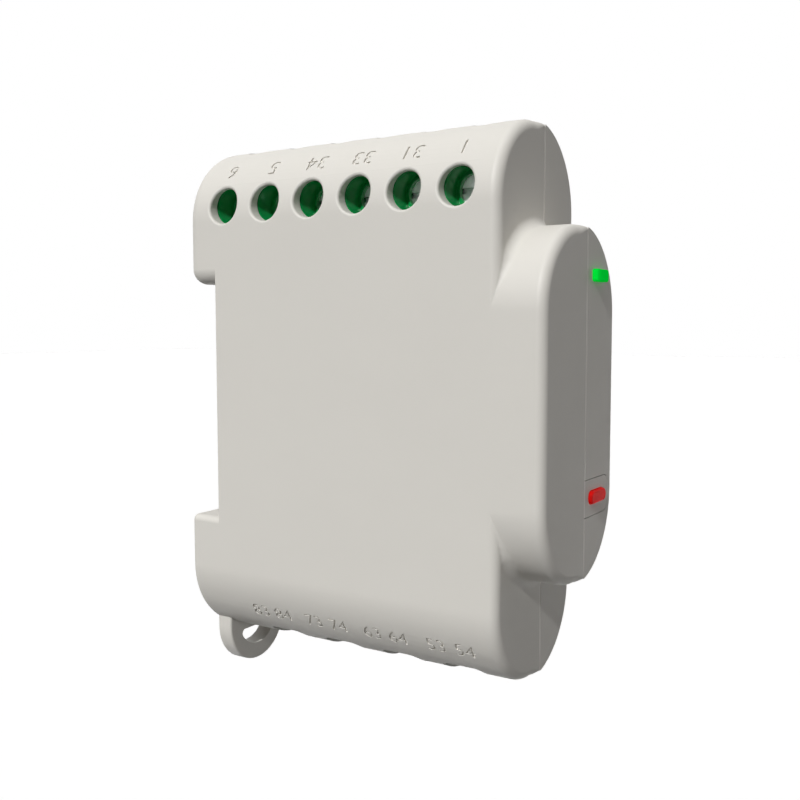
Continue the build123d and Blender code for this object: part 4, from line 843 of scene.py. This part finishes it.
class METER_OT_solder_joints(bpy.types.Operator):
    """Adds a solder joint round each pin on the far side of the board"""

    bl_idname = "meter.solder_joints"
    bl_label = "Solder joints"

    def execute(self, context):
        sizes = context.scene.meter_solder
        first = self.joint(sizes)
        first.data.materials.append(solder_metal())
        spots = pin_spots()
        for k, (y, z) in enumerate(spots):
            piece = first
            if k < len(spots) - 1:
                piece = first.copy()
                piece.data = first.data.copy()
                context.collection.objects.link(piece)
            piece.name = f"solder_joint_{k + 1}"
            piece.data.name = piece.name
            piece.location = (BOARD_HIGH.x, y, z)
            select_only(piece)
            bpy.ops.object.transform_apply(location=True, rotation=True, scale=True)
            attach(piece, "housing")
        return {"FINISHED"}

    def joint(self, sizes):
        """One hollow-sided cone of solder, standing on the board along X."""
        bpy.ops.object.select_all(action="DESELECT")
        bpy.ops.mesh.primitive_circle_add(vertices=20, radius=sizes.foot / 2, fill_type="NGON",
                                          rotation=(0, pi / 2, 0), location=(0, 0, 0))
        piece = bpy.context.object
        bpy.ops.object.transform_apply(location=True, rotation=True, scale=True)
        bpy.ops.object.mode_set(mode="EDIT")
        bpy.ops.mesh.select_all(action="SELECT")
        wide = sizes.foot
        for rise, share in SOLDER_STEPS:
            step = rise * sizes.rise
            bpy.ops.mesh.extrude_region_move(TRANSFORM_OT_translate={"value": (step, 0, 0)})
            next_wide = sizes.neck + share * (sizes.foot - sizes.neck)
            bpy.ops.transform.resize(value=(1, next_wide / wide, next_wide / wide))
            wide = next_wide
        bpy.ops.mesh.select_all(action="SELECT")
        bpy.ops.mesh.normals_make_consistent(inside=False)
        bpy.ops.object.mode_set(mode="OBJECT")
        bpy.ops.object.shade_smooth_by_angle(angle=radians(50))
        return piece


class METER_OT_stage(bpy.types.Operator):
    """Sets the floor, the lights, the surroundings and the camera"""

    bl_idname = "meter.stage"
    bl_label = "Stage"

    def execute(self, context):
        studio = context.scene.meter_studio
        self.lay_floor(studio)
        self.hang_sun("key_light", studio.key_from, studio.key_strength, studio.key_softness)
        self.hang_sun("ceiling_light", (0, 0, 1), studio.ceiling_strength, studio.ceiling_softness)
        self.light_around(context, studio)
        self.place_camera(context, studio)
        context.scene.view_settings.view_transform = "Standard"
        return {"FINISHED"}

    def lay_floor(self, studio):
        """A pale floor that the camera sees as white where it is lit, and that throws little light back."""
        bpy.ops.object.select_all(action="DESELECT")
        bpy.ops.mesh.primitive_plane_add(size=studio.floor_size, location=(0, 0, -studio.floor_drop))
        floor = bpy.context.object
        floor.name = "floor"
        material = bpy.data.materials.new("Floor paper")
        material.use_nodes = True
        tree = material.node_tree
        tree.nodes.clear()
        seen = self.seen(tree)
        colour = tint(tree, seen, (0.16, 0.16, 0.16), (0.90, 0.90, 0.90))
        paper = node(tree, "ShaderNodeBsdfDiffuse", {"Color": colour})
        glow = node(tree, "ShaderNodeEmission", {"Strength": maths(tree, "MULTIPLY", seen, 0.30)})
        both = node(tree, "ShaderNodeAddShader", {0: paper.outputs[0], 1: glow.outputs[0]})
        node(tree, "ShaderNodeOutputMaterial", {"Surface": both.outputs[0]})
        floor.data.materials.append(material)

    def hang_sun(self, name, direction, strength, softness):
        """A far lamp that shines from a direction and covers an angle."""
        direction = Vector(direction)
        bpy.ops.object.select_all(action="DESELECT")
        bpy.ops.object.light_add(type="SUN", location=direction * 0.5)
        sun = bpy.context.object
        sun.name = name
        sun.rotation_euler = direction.to_track_quat("Z", "Y").to_euler()
        sun.data.energy = strength
        sun.data.angle = softness

    def light_around(self, context, studio):
        """White to the eye and in reflections, and an even warm grey as light."""
        world = bpy.data.worlds.new("Studio")
        context.scene.world = world
        world.use_nodes = True
        tree = world.node_tree
        tree.nodes.clear()
        level = maths(tree, "MULTIPLY_ADD", self.seen(tree), 1.0 - studio.around, studio.around)
        colour = tint(tree, self.seen(tree), (1.0, 0.945, 0.91), (1.0, 1.0, 1.0))
        back = node(tree, "ShaderNodeBackground", {"Color": colour, "Strength": level})
        node(tree, "ShaderNodeOutputWorld", {"Surface": back.outputs[0]})

    def seen(self, tree):
        """1 for rays from the camera and for mirrored and clear ones."""
        path = node(tree, "ShaderNodeLightPath").outputs
        mirrored = maths(tree, "MAXIMUM", path["Is Glossy Ray"], path["Is Transmission Ray"])
        return maths(tree, "MAXIMUM", path["Is Camera Ray"], mirrored)

    def place_camera(self, context, studio):
        """The photograph's viewing angle."""
        bpy.ops.object.select_all(action="DESELECT")
        turn = (pi / 2 - studio.camera_tilt, 0, studio.camera_turn - pi / 2)
        bpy.ops.object.camera_add(location=studio.camera_place, rotation=turn)
        camera = bpy.context.object
        camera.name = "camera"
        camera.rotation_euler.rotate_axis("Z", studio.camera_roll)
        camera.data.lens = studio.lens
        camera.data.sensor_width = 36
        camera.data.clip_start = 0.01
        context.scene.camera = camera


OPERATORS = (
    METER_OT_stage,
    METER_OT_housing_finish,
    METER_OT_terminal_finish,
    METER_OT_metal_finish,
    METER_OT_control_finish,
    METER_OT_board_finish,
    METER_OT_numbers,
    METER_OT_solder_joints,
)


class METER_PT_pieces(bpy.types.Panel):
    """Lists the meter's finishes and pieces"""

    bl_label = "Energy meter"
    bl_idname = "METER_PT_pieces"
    bl_space_type = "VIEW_3D"
    bl_region_type = "UI"
    bl_category = "Meter"

    def draw(self, context):
        column = self.layout.column()
        scene = context.scene
        for settings in (scene.meter_finishes, scene.meter_numbers, scene.meter_solder, scene.meter_studio):
            for name in settings.__annotations__:
                column.prop(settings, name)
        for operator in OPERATORS:
            column.operator(operator.bl_idname)


CLASSES = (MeterFinishes, MeterNumbers, MeterSolder, MeterStudio, *OPERATORS, METER_PT_pieces)


def register():
    for made in CLASSES:
        bpy.utils.register_class(made)
    bpy.types.Scene.meter_finishes = PointerProperty(type=MeterFinishes)
    bpy.types.Scene.meter_numbers = PointerProperty(type=MeterNumbers)
    bpy.types.Scene.meter_solder = PointerProperty(type=MeterSolder)
    bpy.types.Scene.meter_studio = PointerProperty(type=MeterStudio)


def unregister():
    del bpy.types.Scene.meter_studio
    del bpy.types.Scene.meter_solder
    del bpy.types.Scene.meter_numbers
    del bpy.types.Scene.meter_finishes
    for made in reversed(CLASSES):
        bpy.utils.unregister_class(made)


def main():
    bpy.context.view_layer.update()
    register()
    bpy.ops.meter.stage()
    bpy.ops.meter.housing_finish()
    bpy.ops.meter.terminal_finish()
    bpy.ops.meter.metal_finish()
    bpy.ops.meter.control_finish()
    bpy.ops.meter.board_finish()
    bpy.ops.meter.numbers()
    bpy.ops.meter.solder_joints()


if __name__ == "__main__":
    main()
